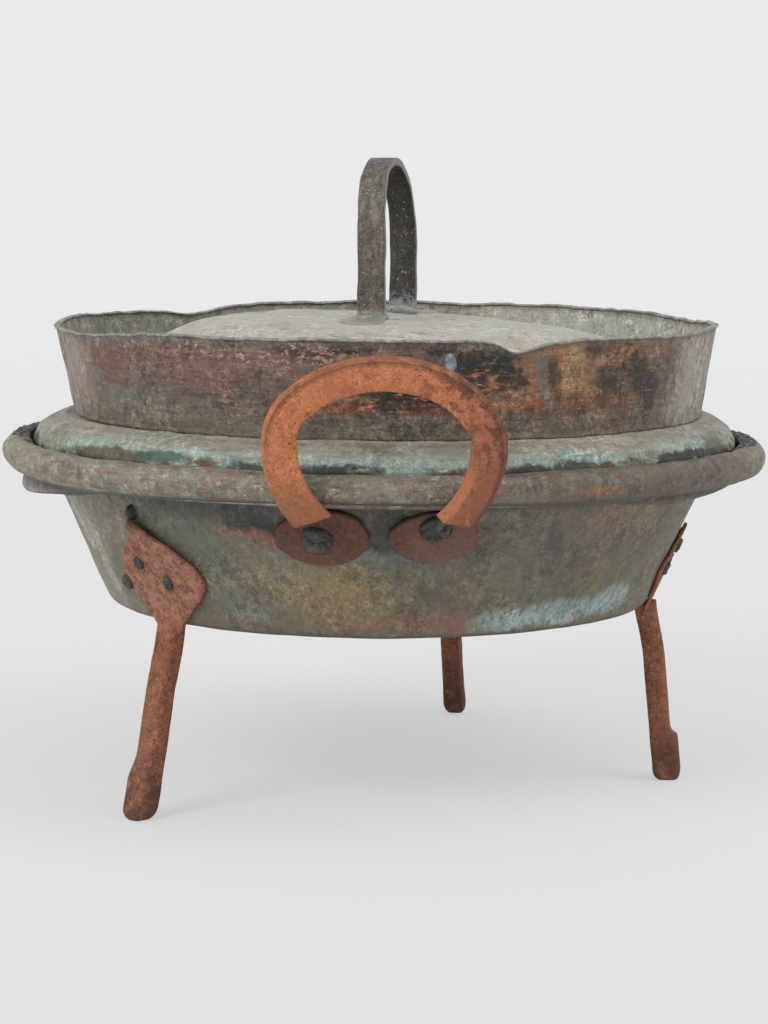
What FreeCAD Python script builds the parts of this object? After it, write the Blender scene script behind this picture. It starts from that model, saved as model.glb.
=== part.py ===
"""Copper country oven: a wired-rim pan on three riveted iron legs, with two iron horseshoe handles
and a loose lid whose flared collar holds embers round a low dome.

Millimetres. The origin is on the floor under the centre of the pan, +Z is up, and -Y is the front.
"""
import FreeCAD
import Part

import math
import os

from FreeCAD import Placement, Rotation, Vector

# ------------------------------------------------------------------ driving dimensions

# Sheet and fits
pan_sheet = 1.5            # copper of the pan
lid_sheet = 1.2            # copper of the dome, trough, shoulder and skirt
collar_sheet = 1.2         # copper of the ember collar
seat_gap = 0.2             # room left between pieces that are drawn up tight
wire_play = 0.45           # between the wire and the sheet rolled round it
lid_side_clearance = 2.0   # the lid drops loosely inside the rim
lid_seat_gap = 0.3         # under the skirt, so that the lid can turn

# Pan
rim_radius = 210.0         # over the rolled rim
leg_height = 98.0          # floor to the underside of the pan
wall_height = 72.5         # underside of the pan to the underside of the ledge
wall_flare = 23.8          # degrees out of the upright
ledge_width = 16.3         # wall to the outside of the upstand
corner_fillet = 8.0        # between the bottom and the wall
ledge_fillet = 3.0         # at both edges of the ledge
wire_radius = 5.8          # iron wire in the rolled rim
bead_rise = 9.0            # underside of the ledge to the wire's centre
curl_turn = 310.0          # degrees of sheet rolled round the wire

# Lid
skirt_height = 18.0        # ledge to the edge of the shoulder
shoulder_rise = 7.7        # edge of the shoulder to the ember trough
shoulder_fillet = 5.0
shoulder_width = 19.4      # skirt to the ember trough
trough_width = 25.0        # collar to the foot of the dome
dome_flank = 29.5          # foot of the dome to its knee, measured level
dome_height = 58.0         # trough to the top of the dome
dome_knee_drop = 3.0       # top of the dome to its knee
dome_crown_radius = 40.0   # level middle of the dome
dome_crown_fillet = 38.0    # less than the crown radius, so that the turned face does not cross itself
dome_knee_fillet = 60.0
dome_foot_fillet = 8.0

# Ember collar
collar_set = 1.5           # outer edge of the trough to the outside of the collar
collar_height = 56.5
collar_flare = 9.0         # degrees out of the upright
collar_flange = 7.0        # flat foot turned inwards on the trough
collar_fillet = 2.0
seam_azimuth = 132.0       # where the band is lapped
seam_lap = 12.0            # width of the lap
seam_rivet_count = 3

# Lid handle
strap_width = 15.0
strap_thickness = 6.5
strap_half_span = 39.0     # outside of the arch, from its middle
strap_top = 86.0           # top of the dome to the top of the arch
strap_turn = -14.0         # degrees from the front-to-back line
foot_length = 34.0         # each foot, spread flat outwards on the dome
foot_end_width = 28.0
foot_thickness = 3.5
foot_end_bulge = 4.5       # how far the rounded outer end stands out
foot_rivet_inset = 15.0    # from the outer end of the foot

# Pan handles
handle_gap = 8.0           # rolled rim to the back of the horseshoe
bar_width = 17.0
bar_thickness = 8.0
crown_radius = 74.0        # outside of the flattened top
knuckle_radius = 34.0      # outside of the two shoulders
knuckle_offset = 25.5      # sideways, centre of each shoulder
side_radius = 59.5         # outside of the two sides, round the handle's middle
side_reach = 62.0          # degrees below level that the sides run to before they are cut off
handle_middle_rise = 27.0  # wire's centre to the handle's middle
horseshoe_end_x = 36.5     # middle of each lower end
horseshoe_end_drop = 41.0  # handle's middle to the lower ends
end_slant = 9.5            # degrees, the inner corner of an end is higher
neck_thickness = 5.0
neck_slope = 7.0           # degrees downwards on the way to the wall
palm_offset = 29.0         # centre of each oval palm, sideways
palm_drop = 17.0           # underside of the ledge to the middle of the palm
palm_length = 47.0
palm_width = 28.5
palm_thickness = 4.0
handle_rivet_drop = 18.0   # underside of the ledge to the rivet
handle_rivet_offset = 27.0

# Legs: azimuth of the leaf, how far the foot splays outwards, its sideways lean, height of the leaf
legs = {
    "leg_left": {"azimuth": -137.0, "splay": 29.5, "lean": 12.0, "leaf_height": 59.0},
    "leg_right": {"azimuth": -8.0, "splay": 9.5, "lean": 0.0, "leaf_height": 44.0},
    "leg_back": {"azimuth": 75.0, "splay": 25.5, "lean": 0.0, "leaf_height": 42.0},
}
leg_width = 12.0           # tangential
leg_depth = 10.0           # radial
leaf_width = 58.0
leaf_thickness = 4.0
leaf_root = 7.0            # length of the leaf's root down the outside of the bar
leaf_neck = (1.3, 0.06)    # widening above the root, and its share of the leaf's height
leaf_edge = [(0.80, 0.27), (1.0, 0.48), (0.66, 0.74), (0.2, 0.9)]   # shares of half width, height
heel_height = 28.0
heel_depth = 6.0           # extra thickness where the end is folded back
heel_top_share = 0.6       # share of that thickness left at the top of the heel
leg_rivet_spread = 19.0    # from the middle of the leaf to each lower rivet
leg_rivet_low = 24.0       # underside of the pan to the lower rivets
leg_rivet_high = 34.0      # underside of the pan to the upper rivet

# Rivets: shank radius, outer head radius and height, inner head radius and height
handle_rivet = {"shank": 4.5, "head": 7.5, "rise": 3.5, "inner_head": 9.0, "inner_rise": 2.0}
leg_rivet = {"shank": 2.4, "head": 4.2, "rise": 2.0, "inner_head": 5.0, "inner_rise": 1.5}
foot_rivet = {"shank": 3.0, "head": 5.5, "rise": 1.6, "inner_head": 6.5, "inner_rise": 1.5}
seam_rivet = {"shank": 1.5, "head": 3.0, "rise": 1.2, "inner_head": 3.0, "inner_rise": 1.0}
rivet_fit = 0.05           # between a shank and its hole
head_flat = 0.35           # share of a head's radius that the hammer left flat
head_side = 0.74           # share of a head's radius at the middle of its curved side
head_side_rise = 0.72      # share of a head's height there

# ------------------------------------------------------------------ what follows from them

slope = math.tan(math.radians(wall_flare))
bottom_z = leg_height
ledge_z = bottom_z + wall_height
ledge_top_z = ledge_z + pan_sheet
wire_centre_radius = rim_radius - pan_sheet - wire_radius
wire_z = ledge_z + bead_rise
upstand_radius = wire_centre_radius - wire_radius
wall_foot_radius = upstand_radius - ledge_width - wall_height * slope

skirt_radius = upstand_radius - pan_sheet - lid_side_clearance
skirt_foot_z = ledge_top_z + lid_seat_gap
shoulder_z = skirt_foot_z + skirt_height
trough_z = shoulder_z + shoulder_rise
dome_top_z = trough_z + dome_height
trough_radius = skirt_radius - shoulder_width
collar_radius = trough_radius - collar_set
dome_foot_radius = collar_radius - trough_width
dome_knee_radius = dome_foot_radius - dome_flank

handle_back_y = -(rim_radius + handle_gap)
handle_front_y = handle_back_y - bar_thickness
handle_middle_z = wire_z + handle_middle_rise

far = 400.0                # larger than the object, for cutting tools
os.makedirs("parts", exist_ok=True)


# ------------------------------------------------------------------ helpers

def section_point(radius, height):
    """A point of the half section, which is turned round the Z axis."""
    return Vector(radius, 0, height)


def rounded_path(corners):
    """Edges through corners (radius, height, fillet), with an arc at each filleted corner."""
    points = [section_point(radius, height) for radius, height, _ in corners]
    edges, start = [], points[0]
    for index in range(1, len(points) - 1):
        corner, fillet = points[index], corners[index][2]
        back = (points[index - 1] - corner).normalize()
        ahead = (points[index + 1] - corner).normalize()
        half = back.getAngle(ahead) / 2
        inward = (back + ahead).normalize()
        middle = corner + inward * (fillet / math.sin(half) - fillet)
        reach = fillet / math.tan(half)
        arc = Part.Arc(corner + back * reach, middle, corner + ahead * reach).toShape()
        edges += [Part.makeLine(start, corner + back * reach), arc]
        start = corner + ahead * reach
    edges.append(Part.makeLine(start, points[-1]))
    return edges


def turned(face, start=0.0, sweep=360.0):
    """Turn a half section round the Z axis from a start azimuth."""
    face = face.copy()
    face.rotate(Vector(), Vector(0, 0, 1), start)
    return face.revolve(Vector(), Vector(0, 0, 1), sweep)


def sheet(edges, thickness):
    """Section of a sheet to the left of a path, or to the right for a negative thickness."""
    return Part.Wire(edges).makeOffset2D(thickness, 0, True, True, False)


def beside(line, near, away):
    """Section of a straight strip beside a line, between two distances to the left of it."""
    start, end = line.Vertexes[0].Point, line.Vertexes[-1].Point
    along = (end - start).normalize()
    left = Vector(-along.z, 0, along.x)
    return polygon([start + left * near, end + left * near, end + left * away, start + left * away])


def polygon(points):
    """Flat face through points."""
    return Part.Face(Part.makePolygon(points + points[:1]))


def put(shape, position, direction):
    """Move a shape made along +Z to a position and a direction."""
    shape = shape.copy()
    shape.Placement = Placement(position, Rotation(Vector(0, 0, 1), direction))
    return shape


def about_z(shape, degrees):
    shape = shape.copy()
    shape.rotate(Vector(), Vector(0, 0, 1), degrees)
    return shape


def radial(azimuth):
    angle = math.radians(azimuth)
    return Vector(math.cos(angle), math.sin(angle), 0)


def rivet(size, low, high):
    """Rivet along +Z with its shank from low to high and a domed head at each end."""
    shank, head, inner = size["shank"], size["head"], size["inner_head"]
    top, bottom = high + size["rise"], low - size["inner_rise"]

    def dome(radius, base, tip):
        side = Vector(radius * head_side, 0, base + (tip - base) * head_side_rise)
        return Part.Arc(Vector(radius, 0, base), side, Vector(radius * head_flat, 0, tip)).toShape()

    outline = [
        Part.makeLine(Vector(0, 0, bottom), Vector(0, 0, top)),
        Part.makeLine(Vector(0, 0, top), Vector(head * head_flat, 0, top)),
        dome(head, high, top),
        Part.makeLine(Vector(head, 0, high), Vector(shank, 0, high)),
        Part.makeLine(Vector(shank, 0, high), Vector(shank, 0, low)),
        Part.makeLine(Vector(shank, 0, low), Vector(inner, 0, low)),
        dome(inner, low, bottom),
        Part.makeLine(Vector(inner * head_flat, 0, bottom), Vector(0, 0, bottom)),
    ]
    return turned(Part.Face(Part.Wire(Part.__sortEdges__(outline))))


def hole(size, low, high):
    """Tool for the hole that a rivet fills."""
    return Part.makeCylinder(size["shank"] + rivet_fit, high - low, Vector(0, 0, low))


def wall_radius(height):
    """Radius of the outside of the pan's wall."""
    return wall_foot_radius + (height - bottom_z) * slope


def wall_seat(azimuth, height):
    """Point on the outside of the wall, and the direction straight out of it there."""
    out = radial(azimuth)
    tilt = math.radians(wall_flare)
    point = out * wall_radius(height) + Vector(0, 0, height)
    return point, out * math.cos(tilt) + Vector(0, 0, -math.sin(tilt))


def wall_layer(low, high, inner, outer):
    """Conical layer outside the wall, between two distances from it."""
    shift_r, shift_z = math.cos(math.radians(wall_flare)), -math.sin(math.radians(wall_flare))
    ends = []
    for height, distance in ((low, inner), (low, outer), (high, outer), (high, inner)):
        ends.append(section_point(wall_radius(height) + distance * shift_r,
                                  height + distance * shift_z))
    return turned(polygon(ends))


def save(name, solids):
    """Write one sub-part and say what it is."""
    shape = Part.makeCompound(solids) if len(solids) > 1 else solids[0]
    shape.exportStep("parts/%s.step" % name)
    count, good = len(shape.Solids), shape.isValid()
    print("%-26s solids %d  volume %9.1f mm3  valid %s" % (name, count, shape.Volume, good))


# ------------------------------------------------------------------ paths of the sheets

def pan_path():
    """Outside of the pan: bottom, wall, ledge, upstand and the roll round the wire."""
    edges = rounded_path([
        (0, bottom_z, 0),
        (wall_foot_radius, bottom_z, corner_fillet),
        (wall_radius(ledge_z), ledge_z, ledge_fillet),
        (upstand_radius, ledge_z, ledge_fillet),
        (upstand_radius, wire_z, 0),
    ])

    def on_wire(turn):
        angle = math.radians(180 - turn)
        return section_point(wire_centre_radius + wire_radius * math.cos(angle),
                             wire_z + wire_radius * math.sin(angle))

    edges.append(Part.Arc(on_wire(0), on_wire(curl_turn / 2), on_wire(curl_turn)).toShape())
    return edges


def dome_path():
    """Upper side of the lid from the middle of the dome to the outside of the trough."""
    return rounded_path([
        (0, dome_top_z, 0),
        (dome_crown_radius, dome_top_z, dome_crown_fillet),
        (dome_knee_radius, dome_top_z - dome_knee_drop, dome_knee_fillet),
        (dome_foot_radius, trough_z, dome_foot_fillet),
        (trough_radius, trough_z, shoulder_fillet),
        (skirt_radius, shoulder_z, shoulder_fillet),
        (skirt_radius, skirt_foot_z, 0),
    ])


def collar_path():
    """Underside of the flange and outside of the flared band."""
    foot_z = trough_z + seat_gap
    lip_radius = collar_radius + collar_height * math.tan(math.radians(collar_flare))
    return rounded_path([
        (collar_radius - collar_flange, foot_z, 0),
        (collar_radius, foot_z, collar_fillet),
        (lip_radius, foot_z + collar_height, 0),
    ])


# ------------------------------------------------------------------ rivets of the pan

pan_rivets = {}            # node: list of (azimuth, height, size, grip)
for side, facing in (("front", -90.0), ("rear", 90.0)):
    rivet_z = ledge_z - handle_rivet_drop
    swing = math.degrees(math.asin(handle_rivet_offset / wall_radius(rivet_z)))
    for hand, turn in (("left", -1), ("right", 1)):
        azimuth = facing + turn * swing if side == "front" else facing - turn * swing
        pan_rivets["%s_rivet_%s" % (side, hand)] = [(azimuth, rivet_z, handle_rivet, palm_thickness)]
for name, leg in legs.items():
    low_z, high_z = bottom_z + leg_rivet_low, bottom_z + leg_rivet_high
    swing = math.degrees(leg_rivet_spread / wall_radius(low_z))
    pan_rivets[name + "_rivets"] = [
        (leg["azimuth"] - swing, low_z, leg_rivet, leaf_thickness),
        (leg["azimuth"], high_z, leg_rivet, leaf_thickness),
        (leg["azimuth"] + swing, low_z, leg_rivet, leaf_thickness),
    ]


def pan_rivet_shape(make, place):
    """Rivet or hole tool at its place on the wall."""
    azimuth, height, size, grip = place
    point, out = wall_seat(azimuth, height)
    hollow = size["inner_head"] ** 2 / (2 * wall_foot_radius)
    low, high = -pan_sheet - seat_gap - hollow, grip + 2 * seat_gap
    return put(make(size, low, high), point, out)


pan_hole_tools = [pan_rivet_shape(hole, place) for group in pan_rivets.values() for place in group]


def drilled(shape, tools):
    """Cut the hole tools that reach a shape."""
    near = [tool for tool in tools if tool.BoundBox.intersect(shape.BoundBox)]
    return shape.cut(near) if near else shape


# ------------------------------------------------------------------ pan

def make_pan_shell():
    return drilled(turned(sheet(pan_path(), pan_sheet)), pan_hole_tools)


def make_rim_wire():
    return Part.makeTorus(wire_centre_radius, wire_radius - wire_play, Vector(0, 0, wire_z))


# ------------------------------------------------------------------ pan handles

def horseshoe_outline(inset):
    """Arcs of the horseshoe from the lower left to the lower right, set in from the outside."""
    middle = handle_middle_z
    spread = crown_radius - knuckle_radius
    tilt = math.asin(knuckle_offset / spread)
    crown_z = middle - spread * math.cos(tilt)
    side_shift = knuckle_offset + knuckle_radius - side_radius
    low = math.radians(-side_reach)

    def arc(centre_x, centre_z, radius, first, last):
        size = radius - inset
        points = [Vector(centre_x + size * math.cos(angle), 0, centre_z + size * math.sin(angle))
                  for angle in (first, (first + last) / 2, last)]
        return Part.Arc(*points).toShape()

    shoulder = math.pi / 2 - tilt
    return [
        arc(-side_shift, middle, side_radius, math.pi - low, math.pi),
        arc(-knuckle_offset, middle, knuckle_radius, math.pi, math.pi - shoulder),
        arc(0, crown_z, crown_radius, math.pi - shoulder, shoulder),
        arc(knuckle_offset, middle, knuckle_radius, shoulder, 0),
        arc(side_shift, middle, side_radius, 0, low),
    ]


def horseshoe_face():
    """Flat face of the horseshoe, wider than needed at its lower ends."""
    outer, inner = horseshoe_outline(0), horseshoe_outline(bar_width)
    ends = [Part.makeLine(outer[-1].lastVertex(True).Point, inner[-1].lastVertex(True).Point),
            Part.makeLine(outer[0].firstVertex(True).Point, inner[0].firstVertex(True).Point)]
    return Part.Face(Part.Wire(Part.__sortEdges__(outer + inner + ends)))


def end_band(side, low, high):
    """Slanted strip across one lower end, between two distances above the end."""
    end = Vector(side * horseshoe_end_x, 0, handle_middle_z - horseshoe_end_drop)
    slant = math.radians(end_slant)
    along = Vector(-side * math.cos(slant), 0, math.sin(slant))
    up = Vector(side * math.sin(slant), 0, math.cos(slant))
    reach = along * bar_width
    return polygon([end + reach + up * low, end - reach + up * low,
                    end - reach + up * high, end + reach + up * high])


def pan_keep_out():
    """What a piece outside the pan may not enter: the pan below its ledge, lifted by the gap."""
    low, high = bottom_z - seat_gap, ledge_z
    lift = seat_gap / math.cos(math.radians(wall_flare))
    return turned(polygon([section_point(0, low), section_point(wall_radius(low) + lift, low),
                           section_point(wall_radius(high) + lift, high), section_point(0, high)]))


def upright_prism(outline, centre, facing):
    """Run a flat outline, drawn in the XZ plane, far out in front of a centre, then turn it."""
    prism = Part.Face(outline).extrude(Vector(0, -far, 0))
    prism.translate(centre)
    return about_z(prism, facing)


def palm_outline():
    """Oval in the XZ plane."""
    oval = Part.Ellipse(Vector(), palm_length / 2, palm_width / 2)
    edge = oval.toShape()
    edge.rotate(Vector(), Vector(1, 0, 0), 90)
    return Part.Wire(edge)


def make_handle(side_name):
    """Front handle: horseshoe, two necks under the rim and two oval palms on the wall."""
    face = horseshoe_face()
    bar = face.cut([end_band(side, -bar_width * 2, 0) for side in (-1, 1)])
    bar.translate(Vector(0, handle_front_y, 0))
    pieces = [bar.extrude(Vector(0, bar_thickness, 0))]

    palm_z = ledge_z - palm_drop
    layer = wall_layer(palm_z - palm_width, ledge_z, seat_gap, seat_gap + palm_thickness)
    run = -handle_front_y - bar_thickness / 2 - wall_radius(palm_z) + palm_thickness
    fall = math.tan(math.radians(neck_slope))
    for side in (-1, 1):
        neck = face.common(end_band(side, 0, neck_thickness))
        neck.translate(Vector(0, handle_front_y + bar_thickness / 2, 0))
        pieces.append(neck.extrude(Vector(0, run, -run * fall)))
        centre = Vector(side * palm_offset, 0, palm_z)
        pieces.append(upright_prism(palm_outline(), centre, 0).common(layer))
    handle = pieces[0].fuse(pieces[1:]).removeSplitter()
    tools = [pan_rivet_shape(hole, place) for hand in ("left", "right")
             for place in pan_rivets["front_rivet_" + hand]]
    handle = drilled(handle.cut(pan_keep_out()), tools)
    return handle if side_name == "front" else about_z(handle, 180)


# ------------------------------------------------------------------ legs

def leaf_outline(height):
    """Leaf in the XZ plane: a root as wide as the bar, a broad body and a pointed tip."""
    half_root, half = leg_width / 2, leaf_width / 2
    widen, neck_share = leaf_neck
    right = [Vector(half_root, 0, -leaf_root), Vector(half_root * widen, 0, height * neck_share)]
    right += [Vector(half * across, 0, height * up) for across, up in leaf_edge]
    right.append(Vector(0, 0, height))
    left = [Vector(-point.x, 0, point.z) for point in right]
    edges = []
    for points in (right, left):
        curve = Part.BSplineCurve()
        curve.interpolate(points)
        edges.append(curve.toShape())
    edges.append(Part.makeLine(left[0], right[0]))
    return Part.Wire(Part.__sortEdges__(edges))


def level_rectangle(inner, outer, middle, height):
    """Level rectangle between two radii, with its middle shifted sideways."""
    half = leg_width / 2
    corners = [Vector(inner, middle - half, height), Vector(outer, middle - half, height),
               Vector(outer, middle + half, height), Vector(inner, middle + half, height)]
    return Part.makePolygon(corners + corners[:1])


def make_leg(leg, rivet_tools):
    """Leg pointing along +X, then turned to its azimuth."""
    splay, lean, half = leg["splay"], leg["lean"], leg_depth / 2
    bar_top_z = bottom_z - seat_gap

    def middle(height):
        share = 1 - height / bar_top_z
        return wall_foot_radius + splay * share, lean * share

    def section(height, inner, outer):
        radius, shift = middle(height)
        return level_rectangle(radius + inner, radius + outer, shift, height)

    bar = Part.makeLoft([section(0, -half, half), section(bar_top_z, -half, half)], True, True)
    heel = Part.makeLoft([section(0, 0, half + heel_depth),
                          section(heel_height, 0, half + heel_depth * heel_top_share)],
                         True, True)
    layer = wall_layer(bottom_z - leaf_root * 2, ledge_z, seat_gap, seat_gap + leaf_thickness)
    outline = leaf_outline(leg["leaf_height"])
    leaf = upright_prism(outline, Vector(0, 0, bottom_z), 90).common(layer)
    solid = bar.fuse([heel, leaf]).removeSplitter().cut(pan_keep_out())
    return drilled(about_z(solid, leg["azimuth"]), rivet_tools)


# ------------------------------------------------------------------ lid

strap_inner_half = strap_half_span - strap_thickness
arch_top_z = dome_top_z + strap_top
foot_rivet_radius = strap_half_span + foot_length - foot_rivet_inset
crown_slope = math.degrees(math.atan2(dome_knee_drop, dome_knee_radius - dome_crown_radius))


def dome_seat(side):
    """Place and direction of a foot rivet, in the line of the strap along X."""
    fall = (foot_rivet_radius - dome_crown_radius) * math.tan(math.radians(crown_slope))
    tilt = math.radians(crown_slope)
    return (Vector(side * foot_rivet_radius, 0, dome_top_z - fall),
            Vector(side * math.sin(tilt), 0, math.cos(tilt)))


def foot_rivet_shape(make, side):
    point, up = dome_seat(side)
    low, high = -lid_sheet - seat_gap, foot_thickness + 2 * seat_gap
    return about_z(put(make(foot_rivet, low, high), point, up), 90 + strap_turn)


def make_lid_plate():
    tools = [foot_rivet_shape(hole, side) for side in (-1, 1)]
    return turned(sheet(dome_path(), -lid_sheet)).cut(tools)


def make_lid_handle():
    """Arch along X with a foot spread flat outwards at each end, turned into place."""
    span, middle_z = strap_half_span, arch_top_z - strap_half_span
    low_z = dome_top_z - dome_knee_drop
    outer = [Part.makeLine(Vector(-span, 0, low_z), Vector(-span, 0, middle_z)),
             Part.Arc(Vector(-span, 0, middle_z), Vector(0, 0, arch_top_z),
                      Vector(span, 0, middle_z)).toShape(),
             Part.makeLine(Vector(span, 0, middle_z), Vector(span, 0, low_z))]
    arch = Part.Wire(outer).makeOffset2D(-strap_thickness, 0, True, True, False)
    arch.translate(Vector(0, -strap_width / 2, 0))
    solid = arch.extrude(Vector(0, strap_width, 0))

    crown = rounded_path([
        (0, dome_top_z, 0),
        (dome_crown_radius, dome_top_z, dome_crown_fillet),
        (dome_knee_radius, dome_top_z - dome_knee_drop, 0),
    ])
    seat = turned(sheet(crown, seat_gap))
    layer = turned(sheet(crown, seat_gap + foot_thickness)).cut(seat)
    feet = []
    end, half, half_end = span + foot_length, strap_width / 2, foot_end_width / 2
    start, bulge = strap_inner_half, foot_end_bulge
    for side in (-1, 1):
        edges = [
            Part.makeLine(Vector(side * start, half, 0), Vector(side * start, -half, 0)),
            Part.makeLine(Vector(side * start, -half, 0), Vector(side * (end - bulge), -half_end, 0)),
            Part.Arc(Vector(side * (end - bulge), -half_end, 0), Vector(side * end, 0, 0),
                     Vector(side * (end - bulge), half_end, 0)).toShape(),
            Part.makeLine(Vector(side * (end - bulge), half_end, 0), Vector(side * start, half, 0)),
        ]
        prism = Part.Face(Part.Wire(Part.__sortEdges__(edges))).extrude(Vector(0, 0, far))
        feet.append(prism.common(layer))
    handle = solid.cut([seat, turned(sheet(crown, -dome_height / 2))]).fuse(feet)
    handle = about_z(handle.removeSplitter(), 90 + strap_turn)
    return handle.cut([foot_rivet_shape(hole, side) for side in (-1, 1)])


# ------------------------------------------------------------------ ember collar

def seam_angle(width):
    return math.degrees(width / collar_radius)


def seam_rivet_shapes(make):
    """Seam rivets through the band and the lap over it."""
    tilt, out = math.radians(collar_flare), radial(seam_azimuth + seam_angle(seam_lap / 2))
    shapes = []
    for index in range(seam_rivet_count):
        rise = collar_height * (index + 1) / (seam_rivet_count + 1)
        radius = collar_radius + rise * math.tan(tilt)
        point = out * radius + Vector(0, 0, trough_z + seat_gap + rise)
        facing = out * math.cos(tilt) + Vector(0, 0, -math.sin(tilt))
        low, high = -collar_sheet - seat_gap, collar_sheet + 2 * seat_gap
        shapes.append(put(make(seam_rivet, low, high), point, facing))
    return shapes


def make_lid_collar():
    """Flanged band, open at the seam, with one end lapped outside the other."""
    band = turned(sheet(collar_path(), collar_sheet))
    lap_turn = seam_angle(seam_lap)
    slot = Part.makeBox(far, seat_gap * 2, far, Vector(0, -seat_gap, 0))
    slot = about_z(slot, seam_azimuth)
    band = band.cut(slot)
    upright = collar_path()[-1]
    outside = -seat_gap - collar_sheet
    lap = turned(beside(upright, -seat_gap, outside), seam_azimuth - lap_turn / 2, lap_turn * 1.5)
    bridge = turned(beside(upright, collar_sheet / 2, outside),
                    seam_azimuth - lap_turn / 2, lap_turn / 2 - seam_angle(seat_gap))
    collar = band.fuse([lap, bridge]).removeSplitter()
    return collar.cut(seam_rivet_shapes(hole))


# ------------------------------------------------------------------ write the parts

save("pan_shell", [make_pan_shell()])
save("rim_wire", [make_rim_wire()])
for side_name in ("front", "rear"):
    save(side_name + "_handle", [make_handle(side_name)])
for name, leg in legs.items():
    tools = [pan_rivet_shape(hole, place) for place in pan_rivets[name + "_rivets"]]
    save(name, [make_leg(leg, tools)])
for name, places in pan_rivets.items():
    save(name, [pan_rivet_shape(rivet, place) for place in places])

save("lid_plate", [make_lid_plate()])
save("lid_collar", [make_lid_collar()])
save("collar_seam_rivets", seam_rivet_shapes(rivet))
save("lid_handle", [make_lid_handle()])
save("lid_handle_rivet_front", [foot_rivet_shape(rivet, -1)])
save("lid_handle_rivet_back", [foot_rivet_shape(rivet, 1)])
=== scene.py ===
# %% [markdown]
# # A copper country oven
#
# This lesson dresses a finished mechanical model. The pan, lid, handles and legs already exist as
# plain, exact solids; here each one gets the dents, seams, rust and verdigris of an old hearth pan.
# The solids could simply be painted, but they are perfectly round and would look new. So every
# visible piece is modelled again on the same sizes, a little out of true, and stands for its solid.

import math
from collections import namedtuple

import bmesh
import bpy
import numpy as np
from mathutils import Matrix, Vector, noise


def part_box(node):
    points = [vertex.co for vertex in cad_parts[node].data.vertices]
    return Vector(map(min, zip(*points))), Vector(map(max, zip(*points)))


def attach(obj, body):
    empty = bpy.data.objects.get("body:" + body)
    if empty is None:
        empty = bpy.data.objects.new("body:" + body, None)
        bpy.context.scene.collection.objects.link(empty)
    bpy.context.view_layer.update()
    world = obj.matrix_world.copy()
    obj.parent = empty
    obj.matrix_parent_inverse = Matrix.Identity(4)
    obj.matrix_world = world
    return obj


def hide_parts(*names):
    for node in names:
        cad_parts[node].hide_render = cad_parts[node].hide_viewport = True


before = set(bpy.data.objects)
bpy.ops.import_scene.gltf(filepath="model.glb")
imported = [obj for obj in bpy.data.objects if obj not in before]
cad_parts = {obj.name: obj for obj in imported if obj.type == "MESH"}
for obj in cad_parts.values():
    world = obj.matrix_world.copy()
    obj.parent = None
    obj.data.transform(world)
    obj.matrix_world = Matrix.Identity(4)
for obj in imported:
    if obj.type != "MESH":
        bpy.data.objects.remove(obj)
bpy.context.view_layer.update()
metre = 1000.0             # the lesson works in millimetres, Blender in metres


def corners(node):
    """Lowest and highest corner of a solid, in millimetres."""
    low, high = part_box(node)
    return np.array(low) * metre, np.array(high) * metre


# %% [markdown]
# ## Sizes
#
# Everything that the solids can tell is read from them, so the dressing follows if the pan is
# built in another size. What is left are a few angles and thicknesses that a box cannot show.

# %% Sizes read from the solids
pan_low, pan_high = corners("pan_shell")
wire_low, wire_high = corners("rim_wire")
plate_low, plate_high = corners("lid_plate")
band_low, band_high = corners("lid_collar")
horseshoe_low, horseshoe_high = corners("front_handle")
strap_high = corners("lid_handle")[1]

pan_sheet = 1.5
floor_of_pan = pan_low[2]
rim_radius = pan_high[0]
wire_z = (wire_low[2] + wire_high[2]) / 2
roll_radius = pan_high[2] - wire_z                  # outside of the rolled rim's tube
wire_circle = rim_radius - roll_radius              # radius of the circle that the wire follows
upstand = wire_circle - roll_radius + pan_sheet
wall_flare = math.radians(23.8)
wall_foot = 148.6                                   # radius where the wall meets the bottom
ledge_z = wire_z - 9.0

skirt_radius = plate_high[0]
skirt_foot_z = plate_low[2]
trough_z = band_low[2] + 3.4                      # the shoulder has risen round the collar
shoulder_z = band_low[2] - 7.9
trough_radius = skirt_radius - 19.4
collar_foot = trough_radius - 1.5
collar_flare = math.radians(9.0)
collar_height = band_high[2] - trough_z - 0.2
print("rim radius %.1f, wire at %.1f, collar %.1f high" % (rim_radius, wire_z, collar_height))

# %% [markdown]
# ## Camera, floor and light
#
# The oven is seen from a little above, from far away with a long lens, so its circles stay flat.
# It stands on a pale cloth that runs up into the background. One large soft lamp at the front left
# gives the legs their faint shadows; the sky does the rest. Small hard lamps would light the
# copper more brightly, but dull old metal shows its colour best under a broad even light.

# %% Camera
camera_data = bpy.data.cameras.new("camera")
camera_data.sensor_width = 36.0
camera_data.lens = 106.1
camera = bpy.data.objects.new("camera", camera_data)
bpy.context.scene.collection.objects.link(camera)
camera_pitch, camera_roll = 0.124, 0.007            # radians down from level, and clockwise
camera.location = (0.0, -1.668, 0.3534)
camera.matrix_world = (Matrix.Translation(camera.location)
                       @ Matrix.Rotation(math.pi / 2 - camera_pitch, 4, "X")
                       @ Matrix.Rotation(camera_roll, 4, "Z"))
bpy.context.scene.camera = camera
bpy.context.scene.view_settings.view_transform = "Standard"
print("lens %.1f mm, %.2f m from the oven" % (camera_data.lens, camera.location.length))

# %% [markdown]
# ## Shader sums
#
# A shader is a sum on a grid of nodes, and long sums are hard to read as nodes. The class below
# wraps a socket, so that `1 - mask * 0.5` writes the same nodes in one line. It only carries
# numbers: colours are blended with Mix nodes, because a Math node turns a colour grey.

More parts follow.
